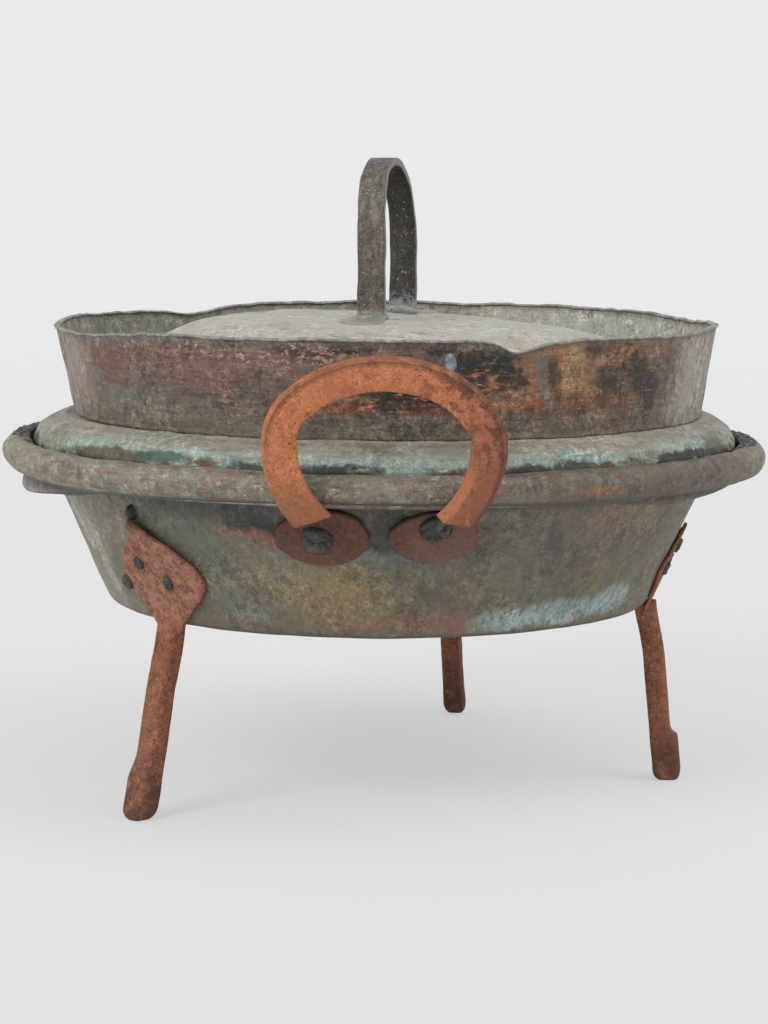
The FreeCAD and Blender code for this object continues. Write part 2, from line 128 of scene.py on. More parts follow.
# %% Numbers on a surface
class Field:
    """A number that changes over a surface."""

    def __init__(self, finish, socket):
        self.finish, self.socket = finish, socket

    def math(self, operation, *others):
        return self.finish.math(operation, self, *others)

    def __add__(self, other):
        return self.math("ADD", other)

    def __radd__(self, other):
        return self.finish.math("ADD", other, self)

    def __sub__(self, other):
        return self.math("SUBTRACT", other)

    def __rsub__(self, other):
        return self.finish.math("SUBTRACT", other, self)

    def __mul__(self, other):
        return self.math("MULTIPLY", other)

    def __rmul__(self, other):
        return self.finish.math("MULTIPLY", other, self)

    def __truediv__(self, other):
        return self.math("DIVIDE", other)

    def __rtruediv__(self, other):
        return self.finish.math("DIVIDE", other, self)

    def step(self, low, high):
        """0 below low, 1 above high and smooth between them; low may be the larger."""
        return self.finish.node(
            "ShaderNodeMapRange", {"interpolation_type": "SMOOTHSTEP", "clamp": True},
            {"Value": self, "From Min": low, "From Max": high})

    def near(self, middle, reach):
        """1 at a value, falling to 0 at a distance from it on both sides."""
        return (self - middle).math("ABSOLUTE").step(reach, 0.0)


def tone(code):
    """A web colour as the linear colour that shaders use."""
    parts = [int(code[place:place + 2], 16) / 255 for place in (1, 3, 5)]
    linear = [part / 12.92 if part <= 0.04045 else ((part + 0.055) / 1.055) ** 2.4
              for part in parts]
    return tuple(linear) + (1.0,)


print("middle grey as a linear colour: %.3f" % tone("#808080")[0])

# %% [markdown]
# ## A finish
#
# Every material here needs the same few things: noise of a given grain in millimetres, the
# direction round the oven and the height above the floor, and soft ragged patches. Node groups
# could hold them, but methods of one class are shorter and can be read from top to bottom. The
# noise is shifted for each finish and each use, so no two of them show the same lumps.

# %% A finish
noise_shift = 31.7                                  # apart by this much, noise has nothing in common
stain_radius = rim_radius * 0.86                    # most stains lie about this far from the axis


class Finish:
    """One material, written as sums."""

    def __init__(self, name):
        self.material = bpy.data.materials.new(name)
        self.material.use_nodes = True
        self.tree = self.material.node_tree
        self.tree.nodes.clear()
        self.offset = len(bpy.data.materials) * noise_shift
        coordinates = self.node("ShaderNodeTexCoord", {}, {}, None)
        normal = self.node("ShaderNodeSeparateXYZ", {},
                           {"Vector": coordinates.outputs["Normal"]}, None)
        self.place = self.node("ShaderNodeVectorMath", {"operation": "SCALE"},
                               {"Vector": coordinates.outputs["Object"], "Scale": metre},
                               "Vector").socket
        axes = self.node("ShaderNodeSeparateXYZ", {}, {"Vector": self.place}, None)
        self.x, self.y, self.z = (Field(self, socket) for socket in axes.outputs)
        self.turn = self.math("ARCTAN2", self.x, self.y * -1.0) * math.degrees(1.0)
        self.radius = self.math("SQRT", self.x * self.x + self.y * self.y)
        self.right, self.back, self.up = (Field(self, socket) for socket in normal.outputs)
        self.outward = (self.right * self.x + self.back * self.y) / self.radius

    def node(self, kind, settings, inputs, output=0):
        """Add a node, with its settings first. None for the output gives the node itself."""
        made = self.tree.nodes.new(kind)
        for name, value in settings.items():
            setattr(made, name, value)
        for name, value in inputs.items():
            if isinstance(value, Field):
                value = value.socket
            if isinstance(value, bpy.types.NodeSocket):
                self.tree.links.new(value, made.inputs[name])
            else:
                made.inputs[name].default_value = value
        return made if output is None else Field(self, made.outputs[output])

    def math(self, operation, *values):
        return self.node("ShaderNodeMath", {"operation": operation}, dict(enumerate(values)))

    def grain(self, size, detail=4.0, rough=0.55, stretch=(1, 1, 1), seed=0.0):
        """Noise about 0.5 whose lumps are as large as size, in millimetres, times the stretch."""
        scale = tuple(1.0 / (size * part) for part in stretch)
        shift = (self.offset + seed * 7.3, seed * 3.1, seed * 5.7)
        place = self.node("ShaderNodeVectorMath", {"operation": "MULTIPLY_ADD"},
                          {0: self.place, 1: scale, 2: shift}, "Vector")
        return self.node("ShaderNodeTexNoise", {},
                         {"Vector": place, "Scale": 1.0, "Detail": detail, "Roughness": rough},
                         "Fac")

    def flecks(self, size, share, seed=0.0, stretch=(1, 1, 1)):
        """Small sharp flecks that cover about a share of the surface."""
        edge = 0.74 - share * 0.5
        return self.grain(size, 2.0, 0.6, stretch, seed=seed).step(edge, edge + 0.06)

    def scratches(self, size, stretch, width, seed=0.0):
        """Fine lines along the long way of the stretch."""
        return self.grain(size, 1.0, 0.5, stretch, seed=seed).near(0.5, width)

    def painted(self, name):
        """A number that was stored on the points of the mesh."""
        return self.node("ShaderNodeAttribute", {"attribute_name": name}, {}, "Fac")

    def patch(self, turn, height, half_width, half_height, ragged=0.5, grain=9.0, soft=0.35,
              lean=0.0, seed=0.0):
        """A ragged spot round the oven: its middle in degrees and millimetres, its half sizes."""
        across = (self.turn - turn) * math.radians(stain_radius) / half_width
        up = (self.z - height) / half_height
        if lean:
            across = across + up * lean
        distance = self.math("SQRT", across * across + up * up)
        broken = distance + (self.grain(grain, seed=seed + turn) - 0.5) * ragged * 3
        return broken.step(1.0 + soft, 1.0 - soft)

    def mix(self, mask, base, top):
        return self.node("ShaderNodeMix", {"data_type": "RGBA", "clamp_factor": True},
                         {0: mask, 6: base, 7: top}, 2)

    def layers(self, base, *coats):
        """Paint coats, each a mask and a colour, over a base colour."""
        for mask, colour in coats:
            base = self.mix(mask, base, colour)
        return base

    def shade(self, mask, colour, factor):
        """Darken or lighten a colour by a factor without changing its hue much."""
        return self.node("ShaderNodeMix", {"data_type": "RGBA", "blend_type": "MULTIPLY"},
                         {0: mask, 6: colour, 7: (factor, factor * 0.985, factor * 0.96, 1.0)}, 2)

    def weather(self, colour, amount, sizes=(6.5, 2.6, 1.1), stretch=(1, 1, 1)):
        """Break a colour up with pale and dark grain of three sizes; gives colour and relief."""
        relief = 0.0
        uneven = self.grain(24, 3.0, 0.6, seed=19).step(0.36, 0.60) * (amount * 0.9) + amount * 0.4
        for index, size in enumerate(sizes):
            lump = self.grain(size, 4.0, 0.7, stretch, seed=20 + index)
            colour = self.shade(lump.step(0.50, 0.62) * uneven, colour, 1.75)
            colour = self.shade(lump.step(0.49, 0.38) * uneven, colour, 0.42)
            relief = relief + (lump - 0.5) * (size * 0.16 + 0.1)
        return colour, relief

    def done(self, colour, rough, metal=0.0, height=None):
        """Join colour, roughness, metalness and a relief in millimetres to the shader."""
        inputs = {"Base Color": colour, "Roughness": rough, "Metallic": metal}
        if height is not None:
            inputs["Normal"] = self.node("ShaderNodeBump", {},
                                         {"Height": height, "Distance": 1 / metre}, "Normal")
        return self.closed(self.node("ShaderNodeBsdfPrincipled", {}, inputs, "BSDF"))

    def closed(self, shader):
        """Set the last shader; gives the material."""
        self.node("ShaderNodeOutputMaterial", {}, {"Surface": shader}, None)
        print("%-24s %4d nodes" % (self.material.name, len(self.tree.nodes)))
        return self.material


print("stains are measured %.0f mm from the axis" % stain_radius)

# %% [markdown]
# ## Slopes, noise and directions
#
# Dents are sums too, but of numpy arrays, with one value for each point of a mesh. `smooth` is a
# soft step, `bell` a single bump and `waves` a smooth random field whose lumps have a given size.

# %% Slopes and noise
def smooth(value, low, high):
    """0 at low, 1 at high, smooth between; low may be the larger."""
    share = np.clip((np.asarray(value, float) - low) / (high - low), 0, 1)
    return share * share * (3 - 2 * share)


def waves(points, size, seed):
    """Smooth noise between about -1 and 1, one value for each point."""
    return np.array([noise.noise(Vector(point)) for point in points / size + seed * 13.7])


def bell(value, middle, width):
    return np.exp(-((np.asarray(value, float) - middle) / width) ** 2)


def apart(turn, middle):
    """Degrees from a middle direction, the short way round."""
    return (np.asarray(turn, float) - middle + 180) % 360 - 180


def turn_of(points):
    """Degrees round the oven from its front, to the right."""
    return np.degrees(np.arctan2(points[:, 0], -points[:, 1]))


def spokes(points):
    """How far points are from the axis, and the directions straight out to them."""
    radius = np.linalg.norm(points[:, :2], axis=1)
    return radius, points[:, :2] / np.maximum(radius, 1e-6)[:, None]


def shaken(points, size, seed, step=1.0, axes=3):
    """Smooth noise along each axis, to be added to the points."""
    return np.stack([waves(points, size, seed + axis * step) for axis in range(axes)], axis=1)


print("smooth(0.25, 0, 1) = %.3f" % smooth(0.25, 0, 1))

# %% [markdown]
# ## Meshes from grids
#
# Turned pieces are grids: a section of the sheet, taken many times round the axis. Bars are grids
# too: an outline carried along a path. Building the grids from numbers, instead of with Blender's
# screw or bevel modifiers, lets the section change on its way round, as beaten metal does.

# %% Meshes from grids
weld = 1e-6                                         # points closer than this, in metres, are one


def grid_faces(rows, columns, wrap_rows=False, wrap_columns=False):
    """Faces of a grid of points that is stored row by row."""
    row = np.arange(rows if wrap_rows else rows - 1)
    column = np.arange(columns if wrap_columns else columns - 1)
    row, column = np.meshgrid(row, column, indexing="ij")
    below, beside = (row + 1) % rows, (column + 1) % columns
    quads = [row * columns + column, row * columns + beside,
             below * columns + beside, below * columns + column]
    return np.stack(quads, axis=-1).reshape(-1, 4).tolist()


def mesh_piece(name, points, faces, material, body, nodes=(), marks=None):
    """Make a mesh from points in millimetres and set it on its body."""
    mesh = bpy.data.meshes.new(name)
    mesh.from_pydata((np.asarray(points) / metre).tolist(), [], faces)
    for mark, values in (marks or {}).items():
        mesh.attributes.new(mark, "FLOAT", "POINT").data.foreach_set("value", values)
    tidy = bmesh.new()
    tidy.from_mesh(mesh)
    bmesh.ops.remove_doubles(tidy, verts=tidy.verts, dist=weld)
    bmesh.ops.dissolve_degenerate(tidy, edges=tidy.edges, dist=weld / 10)
    bmesh.ops.recalc_face_normals(tidy, faces=tidy.faces)
    tidy.to_mesh(mesh)
    tidy.free()
    mesh.polygons.foreach_set("use_smooth", [True] * len(mesh.polygons))
    mesh.materials.append(material)
    piece = bpy.data.objects.new(name, mesh)
    bpy.context.scene.collection.objects.link(piece)
    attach(piece, body)
    if nodes:
        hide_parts(*nodes)
    print("%-24s %6d faces" % (name, len(mesh.polygons)))
    return piece


print("a ring of 4 x 3 points has", len(grid_faces(4, 3, True)), "faces")

# %% [markdown]
# ## Sheets turned round the axis
#
# A sheet section is a line with rounded corners and the same line set off by the thickness. Each
# corner is its radius, height and fillet, and if wanted the number of steps on the way to it. The
# count of points never depends on the sizes, so sections of different shape still join up.

# %% Sheets turned round the axis
def rounded(path_corners, arc_steps=6):
    """Points along corners (radius, height, fillet, steps), with fillets as arcs."""
    places = [np.array(corner[:2], float) for corner in path_corners]
    points, start = [], places[0]
    for index in range(1, len(places)):
        here = places[index]
        last = index == len(places) - 1
        if last:
            reach = 0.0
        else:
            back = (places[index - 1] - here) / np.linalg.norm(places[index - 1] - here)
            ahead = (places[index + 1] - here) / np.linalg.norm(places[index + 1] - here)
            half = math.acos(np.clip(back @ ahead, -1, 1)) / 2
            fillet = path_corners[index][2]
            reach = fillet / math.tan(half)
        end = here if last else here + back * reach
        steps = path_corners[index][3] if len(path_corners[index]) > 3 else 8
        points += [start + (end - start) * step / steps for step in range(steps)]
        if last:
            points.append(end)
            break
        middle = here + (back + ahead) / np.linalg.norm(back + ahead) * fillet / math.sin(half)
        first, second = end - middle, here + ahead * reach - middle
        for step in range(arc_steps):
            share = step / arc_steps
            spoke = first * (1 - share) + second * share
            points.append(middle + spoke / np.linalg.norm(spoke) * fillet)
        start = here + ahead * reach
    return np.array(points)


def beside(path, distance):
    """The path moved to the left of its travel."""
    step = np.gradient(path, axis=0)
    step /= np.linalg.norm(step, axis=1, keepdims=True)
    return path + np.stack([-step[:, 1], step[:, 0]], axis=1) * distance


def turned(sections):
    """Points of closed sections (radius, height), one for each direction round the oven."""
    count = len(sections)
    angle = np.radians(np.arange(count) * 360.0 / count - 90.0)
    radius, height = sections[..., 0], sections[..., 1]
    points = np.stack([radius * np.cos(angle)[:, None], radius * np.sin(angle)[:, None], height],
                      axis=-1)
    return points.reshape(-1, 3), grid_faces(count, sections.shape[1], True, True)


print("a quarter bend:", len(rounded([(0, 0, 0), (9, 0, 4), (9, 9, 0)])), "points")

# %% [markdown]
# ## Beaten out of true
#
# Old copper is never round. Pieces that touch must share the same dents, or gaps open between
# them, so the dents are one field in space for the pan and one for the lid: every piece is built
# true and then goes through the field of its body. Near the axis the dents fade out.

# %% Dents shared by touching pieces
upright_waves = (1, 1, 0.3)                         # tall lumps: less change with height
bowl_shift = 2.5                                    # the bowl hangs this much to the left of its rim
inside_box = 0.05                                   # the dents stop this short of the solids' box


def pan_dents(points):
    """Broad swellings and hammer marks of the pan."""
    points = np.array(points, float)
    radius, out = spokes(points)
    reach = smooth(radius, 40, 120)
    below_rim = smooth(points[:, 2], ledge_z, ledge_z - 14)
    swell = 1.1 * waves(points, 85, 1) + 0.45 * waves(points, 26, 2)
    marks = 0.22 * waves(points, 9, 3)
    shift = (swell + marks) * reach * (0.45 + 0.55 * below_rim)
    points[:, :2] += out * shift[:, None]
    points[:, 0] -= bowl_shift * below_rim * reach
    points[:, 2] += reach * (0.7 * waves(points * upright_waves, 70, 4)
                             + 0.15 * waves(points, 12, 5))
    points[:, 0] = points[:, 0].clip(inside_box - rim_radius, rim_radius - inside_box)
    return points


def lid_dents(points):
    """Broad swellings and hammer marks of the lid."""
    points = np.array(points, float)
    radius, out = spokes(points)
    reach = smooth(radius, 60, 150) * smooth(radius, skirt_radius + 6, skirt_radius - 8)
    swell = 0.8 * waves(points, 60, 6) + 0.3 * waves(points, 20, 7)
    points[:, :2] += out * (swell * reach)[:, None]
    points[:, 2] += 0.6 * waves(points * upright_waves, 55, 8) + 0.3 * waves(points, 16, 9)
    slope = smooth(radius, 170, 180) * smooth(radius, skirt_radius + 4, skirt_radius - 6)
    seat = bell(radius, collar_foot + 3.2, 2.2) * (points[:, 2] < trough_z + 0.1)
    points[:, 2] += 1.3 * seat                      # the sheet is drawn up against the collar
    points[:, 2] += (0.55 * waves(points, 9, 10) + 0.6 * waves(points, 28, 11)) * slope
    return points


print("the pan's wall moves by %.1f mm at its front" % (
    pan_dents(np.array([[0, -wall_foot, ledge_z - 40]]))[0, 1] + wall_foot))

# %% [markdown]
# ## Pan
#
# One sheet is raised into a bowl, turned out into a ledge that carries the lid, and rolled round
# an iron wire. At the front the ledge hides under the roll; at the two sides it has sagged and
# shows as a drooping fold. The section is therefore worked out afresh for every direction.

# %% Pan shell
steps_round = 640
curl_steps, curl_angle = 40, 310                    # the roll is bent nearly all the way round
ripple_radius = 200                                 # where the ripples of the rim are read


def ledge_droop(turn):
    """How far the ledge has sagged under the rim."""
    front = apart(turn, 0)
    left = 9.3 * smooth(front, -44, -80) * smooth(apart(turn, -90), -75, -35)
    right = 4.0 * smooth(front, 34, 50) * smooth(front, 84, 52)
    return left + right


def rim_shape(turn):
    """How high the rolled rim has been beaten up and how much fatter its tube is."""
    angle = math.radians(turn)
    place = np.array([[math.sin(angle), -math.cos(angle), 0.0]]) * ripple_radius
    lumps = float(waves(place, 24, 61)[0])
    ripple = float(waves(place, 9, 62)[0])
    fat = 1.25 * smooth(abs(turn), 5, 26) * smooth(abs(turn), 88, 60)
    lift = 1.8 + 1.2 * smooth(turn, -50, -88) - 0.6 * smooth(turn, 60, 88)
    return lift + 0.5 * lumps + 0.2 * ripple, fat + 0.4 * lumps + 0.22 * ripple


def pan_section(turn):
    """The closed section of the sheet in one direction: bottom, wall, ledge and roll."""
    droop = float(ledge_droop(turn))
    lift, fat = rim_shape(turn)
    wall_top = ledge_z - 1.25 * droop
    tube_z = wire_z + lift
    wall_head = wall_foot + (wall_top - floor_of_pan) * math.tan(wall_flare)
    path = rounded([
        (0, floor_of_pan, 0),
        (wall_foot, floor_of_pan, 9.0, 14),
        (wall_head, wall_top, 4.0, 34),
        (upstand + 0.28 * droop, ledge_z - droop, 3.0 + 0.2 * droop, 6),
        (upstand, tube_z, 0, 8),
    ])
    angle = np.radians(180 - np.arange(1, curl_steps + 1) * curl_angle / curl_steps)
    tube = roll_radius + fat - pan_sheet
    middle = upstand - pan_sheet + roll_radius + fat
    curl = np.stack([middle + tube * np.cos(angle), tube_z + tube * np.sin(angle)], axis=1)
    path = np.concatenate([path, curl])
    inner = beside(path, pan_sheet)
    inner[0, 0] = 0
    return np.concatenate([path, inner[::-1]])


def make_pan(material):
    directions = np.arange(steps_round) * 360.0 / steps_round
    sections = np.array([pan_section(apart(turn, 0)) for turn in directions])
    points, faces = turned(sections)
    return mesh_piece("pan", pan_dents(points), faces, material, "pan",
                      ["pan_shell"])


print("droop at the left end %.1f mm" % ledge_droop(-90))

# %% [markdown]
# ## Lid
#
# The lid is a shallow dome, a flat trough for embers, a sloping shoulder and a short skirt. The
# dome is a superellipse turned round an axis that sits a little to the right, and it leans.

# %% Lid plate
dome_height, dome_foot, dome_power = 53.2, 146.4, 3.45
dome_shift, dome_lean = 11.0, 0.042
lid_sheet = 1.2


def lid_section():
    """The closed section of the lid: dome, trough, shoulder and skirt."""
    angle = np.linspace(math.pi / 2, 0.16, 60)
    power = 2 / dome_power
    dome = np.stack([dome_foot * np.cos(angle).clip(0) ** power,
                     trough_z + dome_height * np.sin(angle) ** power], axis=1)
    dome[0, 0] = 0
    rest = rounded([
        (dome[-1, 0] + 0.3, dome[-1, 1] - 4.0, 0),
        (dome_foot + 1.0, trough_z, 4.0, 5),
        (trough_radius, trough_z, 3.0, 8),
        (trough_radius + 9.5, trough_z - 1.6, 5.0, 5),
        (skirt_radius - 3.2, trough_z - 6.0, 4.0, 8),
        (skirt_radius, trough_z - 12.5, 3.0, 8),
        (skirt_radius, skirt_foot_z, 0, 10),
    ])
    path = np.concatenate([dome, rest])
    inner = beside(path, -lid_sheet)
    inner[0, 0] = 0
    return np.concatenate([path, inner[::-1]])


def dome_sag(points):
    """How far the top of the dome is dented upwards."""
    return 1.2 * waves(points, 48, 21) + 0.5 * waves(points, 22, 22) - 0.6


def lean_dome(points):
    """Set the dome off to one side, with its left side high, and dent its top."""
    points = np.array(points, float)
    inside = smooth(spokes(points)[0], trough_radius - 4, dome_foot - 26)
    raised = smooth(points[:, 2], trough_z + 8, trough_z + dome_height * 0.9)
    points[:, 0] += dome_shift * inside
    points[:, 2] -= dome_lean * (points[:, 0] - dome_shift) * raised
    points[:, 2] += dome_sag(points) * raised
    return points


def make_lid_plate(material):
    points, faces = turned(np.repeat(lid_section()[None], steps_round, axis=0))
    return mesh_piece("lid_plate_worn", lid_dents(lean_dome(points)), faces, material, "lid",
                      ["lid_plate"])


print("dome %.0f high on a %.0f foot" % (dome_height, dome_foot))

# %% [markdown]
# ## Ember collar
#
# A band stands round the trough to hold embers. It is lapped and riveted at the back left, its
# lip is worn thick and round, and it has been knocked in at the front right. A sculpted mesh could
# show that too, but a short list of knocks can be read and changed: each is its direction, its
# half width, how far the lip drops there and how far it is pushed in.

# %% Collar
collar_sheet = 1.5
collar_shift = 1.6                                  # the band stands a little to the right
collar_low = trough_z + 0.2
collar_lip = collar_low + collar_height
lip_radius = 1.9                                    # of the worn, rounded lip
collar_knocks = [
    (21.4, 3.6, 6.6, 5.0), (27.0, 4.0, 1.2, -1.5), (-66.0, 20.0, 5.2, 2.0),
    (-82.0, 9.0, 0.5, -4.0), (96.0, 12.0, 0.0, 1.8), (57.0, 14.0, 2.6, 0.5),
    (106.0, 18.0, 2.4, 1.0), (8.0, 22.0, 0.6, 0.0), (-126.0, 28.0, 3.6, 0.5),
    (-139.0, 6.0, 3.4, 1.5), (150.0, 30.0, 0.8, 0.6), (38.0, 6.0, 0.7, 0.8),
    (-30.0, 9.0, 0.7, 0.6),
]


def collar_section():
    """The closed section of the band: a turned-in foot, the flared wall and the round lip."""
    head = collar_foot + (collar_height - lip_radius) * math.tan(collar_flare)
    path = rounded([
        (collar_foot - 7.0, collar_low, 0),
        (collar_foot, collar_low, 2.0, 4),
        (head, collar_lip - lip_radius, 0, 44),
    ])
    inner = beside(path, collar_sheet)
    end = (path[-1] + inner[-1]) / 2 - (0, 0.6)
    angle = np.linspace(-0.2, math.pi + 0.2, 9)[1:-1]
    lip_out = end + lip_radius * np.stack([np.cos(angle), np.sin(angle)], axis=1)
    return np.concatenate([path, lip_out, inner[::-1]])


def collar_dents(points):
    """Knocks that grow towards the lip, then the dents that the whole lid shares."""
    points = np.array(points, float)
    turn = turn_of(points)
    rise = ((points[:, 2] - trough_z) / collar_height).clip(0, 1)
    out = spokes(points)[1]
    drop, push = np.zeros(len(points)), np.zeros(len(points))
    for middle, width, down, inwards in collar_knocks:
        reach = bell(apart(turn, middle), 0, width)
        drop += down * reach
        push += inwards * reach
    edge = 0.5 * waves(points * (1, 1, 0.2), 17, 31) + 0.25 * waves(points * (1, 1, 0.2), 6, 32)
    points[:, :2] -= out * ((push + 1.1 * waves(points, 33, 33)) * rise ** 1.5)[:, None]
    points[:, 2] -= drop * rise ** 2.2 - (edge - 0.4) * rise ** 3
    wrinkled = smooth(np.abs(turn), 52, 70) * rise ** 0.5
    folds = 0.55 * waves(points * (1, 1, 0.22), 6, 35) + 0.4 * waves(points, 13, 36)
    points[:, :2] += out * (folds * (0.3 + wrinkled))[:, None]
    points[:, 0] += collar_shift
    return lid_dents(points)


def make_collar(material):
    points, faces = turned(np.repeat(collar_section()[None], steps_round, axis=0))
    return mesh_piece("collar", collar_dents(points), faces, material, "lid",
                      ["lid_collar"], {"below_lip": (collar_lip - points[:, 2]).clip(0)})


def collar_point(turn, height):
    """A point on the outside of the true collar and the direction straight out of it."""
    angle = math.radians(turn - 90)
    spoke = np.array([math.cos(angle), math.sin(angle), 0.0])
    radius = collar_foot + (height - trough_z) * math.tan(collar_flare)
    face = spoke * math.cos(collar_flare) - np.array([0, 0, math.sin(collar_flare)])
    return spoke * radius + np.array([0, 0, height]), face


print("collar lip at %.1f" % collar_lip)

# %% [markdown]
# ## Bars
#
# The horseshoes, the strap and the legs are forged bars. Each is an outline with worn corners,
# carried along a path; the outline may change size, twist or lose a corner on the way, and a
# little noise makes the hammered skin.

# %% Forged bars
corner_steps = 6


def bar_outline(wide, thick, cuts):
    """A rectangle with cut and rounded corners: cuts are the four (wide, thick) cut sizes."""
    half_w, half_t = wide / 2, thick / 2
    signs = [(1, 1), (-1, 1), (-1, -1), (1, -1)]
    points = []
    for index, ((side, face), (cut_w, cut_t)) in enumerate(zip(signs, cuts)):
        first = np.array([side * half_w, face * (half_t - cut_t)])
        second = np.array([side * (half_w - cut_w), face * half_t])
        if index % 2:
            first, second = second, first
        corner = np.array([side * half_w, face * half_t])
        for step in range(corner_steps + 1):
            share = step / corner_steps
            flat = first * (1 - share) + second * share
            points.append(flat + (corner - flat) * 0.35 * math.sin(math.pi * share) ** 2)
    dense = []
    for index, point in enumerate(points):
        following = points[(index + 1) % len(points)]
        is_side = (index + 1) % (corner_steps + 1) == 0 and np.linalg.norm(following - point) > 1
        parts = 5 if is_side else 1
        dense += [point + (following - point) * step / parts for step in range(parts)]
    return np.array(dense)


def carried(path, across, through, outlines):
    """Rows of points: outlines carried along a path, with the directions of their two axes."""
    return np.array([place + outline[:, :1] * wide + outline[:, 1:] * deep
                     for place, wide, deep, outline in zip(path, across, through, outlines)])


def ring_mesh(rows):
    """Points and faces of closed rows, joined one to the next."""
    rows = np.array(rows)
    return rows.reshape(-1, 3), grid_faces(len(rows), rows.shape[1], False, True)


cap_rings = [(0.93, 0.35), (0.7, 0.45), (0.4, 0.5), (0.0, 0.5)]     # size and lift of each ring


def closed_bar(rows):
    """Points and faces of a bar, with both of its ends closed by a slightly raised cap."""
    caps = []
    for row, inner_row in ((rows[0], rows[1]), (rows[-1], rows[-2])):
        middle = row.mean(0)
        along = middle - inner_row.mean(0)
        along = along / np.linalg.norm(along)
        caps.append([middle + (row - middle) * share + along * lift for share, lift in cap_rings])
    return ring_mesh(np.concatenate([caps[0][::-1], rows, caps[1]]))


def hammered(points, amount, seed, size=7.0):
    """Move points a little in all directions, as the hammer left them."""
    points = np.array(points, float)
    for axis in range(3):
        points[:, axis] += amount * waves(points, size, seed + axis * 0.37)
        points[:, axis] += amount * 0.35 * waves(points, size * 0.3, seed + 5 + axis * 0.37)
    return points


print("a bar's outline has", len(bar_outline(12.0, 9.5, [(2, 2)] * 4)), "points")

# %% [markdown]
# ## Plates and rivets on the wall
#
# Palms and leaves are thin plates hammered onto the flared wall. A plate is drawn flat, as rings
# that shrink from its outline to its middle, and then bent onto the cone. A Solidify modifier
# could thicken a bent sheet, but the rings also round the plate's edge, as a hammer does.

# %% Plates on the wall
def wall_frame(azimuth, along, height):
    """A point on the true wall, the direction round it, up it and straight out of it."""
    radius = wall_foot + (height - floor_of_pan) * math.tan(wall_flare)
    angle = math.radians(azimuth) + along / radius
    out = np.array([math.cos(angle), math.sin(angle), 0.0])
    around = np.array([-out[1], out[0], 0.0])
    up = out * math.sin(wall_flare) + np.array([0, 0, math.cos(wall_flare)])
    face = out * math.cos(wall_flare) - np.array([0, 0, math.sin(wall_flare)])
    return out * radius + np.array([0, 0, height]), around, up, face


plate_rings = [(0.0, 1.0), (0.3, 1.0), (0.55, 1.0), (0.75, 1.0), (0.88, 1.0), (0.95, 0.97),
               (0.985, 0.85), (1.0, 0.6), (1.0, 0.0), (0.97, 0.0), (0.5, 0.0), (0.0, 0.0)]
plate_gap = 0.4                                     # a plate's back stands this far off the wall


def flush(along, height):
    """A plate that lies flat on the wall stands no further out anywhere."""
    return 0.0


def wall_plate(outline, middle, azimuth, thick, seed, sprung=flush):
    """A plate on the wall, from its outline as places along the wall and heights."""
    rows = []
    for size, share in plate_rings:
        row = []
        for along, height in middle + (outline - middle) * size:
            point, _, _, face = wall_frame(azimuth, along, height)
            row.append(point + face * (plate_gap + sprung(along, height) + thick * share))
        rows.append(row)
    points, faces = ring_mesh(rows)
    return points + 0.25 * shaken(points, 8, seed), faces


def curve_through(points, count):
    """A smooth closed line through a few given points."""
    points = np.array(points, float)
    total = len(points)
    made = []
    for index in range(total):
        before, first, second, after = (points[(index + step) % total] for step in (-1, 0, 1, 2))
        for step in range(count):
            share = step / count
            made.append(0.5 * (2 * first + (second - before) * share
                               + (2 * before - 5 * first + 4 * second - after) * share ** 2
                               + (3 * first - before - 3 * second + after) * share ** 3))
    return np.array(made)


print("the wall is %.1f mm from the axis at the ledge" % (
    np.linalg.norm(wall_frame(0, 0, ledge_z)[0][:2])))

# %% [markdown]
# ## Rivet heads
#
# A head is made of rings too, round the origin, from a ragged round outline. Its top is faceted by
# the hammer and has folds where the metal was turned over. Then it is stood up where it belongs.

# %% Rivet heads
def round_noise(angle, reach, seed):
    """Noise that is the same after a full turn."""
    return np.array([noise.noise(Vector((math.cos(a) * reach, math.sin(a) * reach, seed)))
                     for a in angle])


head_points = 40
head_rings = [(0.0, 1.0), (0.2, 1.0), (0.4, 0.98), (0.6, 0.93), (0.78, 0.84), (0.9, 0.7),
              (0.97, 0.5), (1.0, 0.25), (1.0, -0.25)]


def rivet_head(radius, rise, seed, stretch, fold):
    """A ragged hammered head round the origin, standing up along Z."""
    angle = np.arange(head_points) * 2 * math.pi / head_points
    circle = np.stack([np.cos(angle) * radius * stretch, np.sin(angle) * radius], axis=1)
    circle *= (1 + 0.28 * round_noise(angle, 1.3, seed))[:, None]
    points, faces = ring_mesh([
        np.concatenate([circle * size, np.full((head_points, 1), height * rise)], axis=1)
        for size, height in head_rings])
    facet = waves(points, radius * 0.75, seed + 40)
    ridge = np.abs(waves(points, radius * 0.9, seed + 50))
    top = (points[:, 2] > 0).astype(float)
    points[:, 2] += top * (facet * rise * 0.35 - smooth(ridge, 0.12, 0.0) * fold)
    points[:, :2] += 0.25 * shaken(points, 3, seed + 60, axes=2)
    return points, faces


def stood(points, place, across, out):
    """Points made round the origin, moved so that Z goes out and X goes across."""
    out = out / np.linalg.norm(out)
    across = across - out * (across @ out)
    across = across / np.linalg.norm(across)
    third = np.cross(out, across)
    return points @ np.array([across, third, out]) + place


def wall_rivet(azimuth, along, height, stand, *head):
    """A head on the wall, or on a plate that stands that far out from it."""
    place, around, _, face = wall_frame(azimuth, along, height)
    points, faces = rivet_head(*head)
    return stood(points, place + face * stand, around, face), faces


def joined(parts):
    """Several point and face lists as one."""
    points, faces, start = [], [], 0
    for part_points, part_faces in parts:
        points.append(part_points)
        faces += [[corner + start for corner in face] for face in part_faces]
        start += len(part_points)
    return np.concatenate(points), faces


print("a rivet head has", len(rivet_head(7.4, 3.8, 1.0, 1.1, 2.2)[1]), "faces")

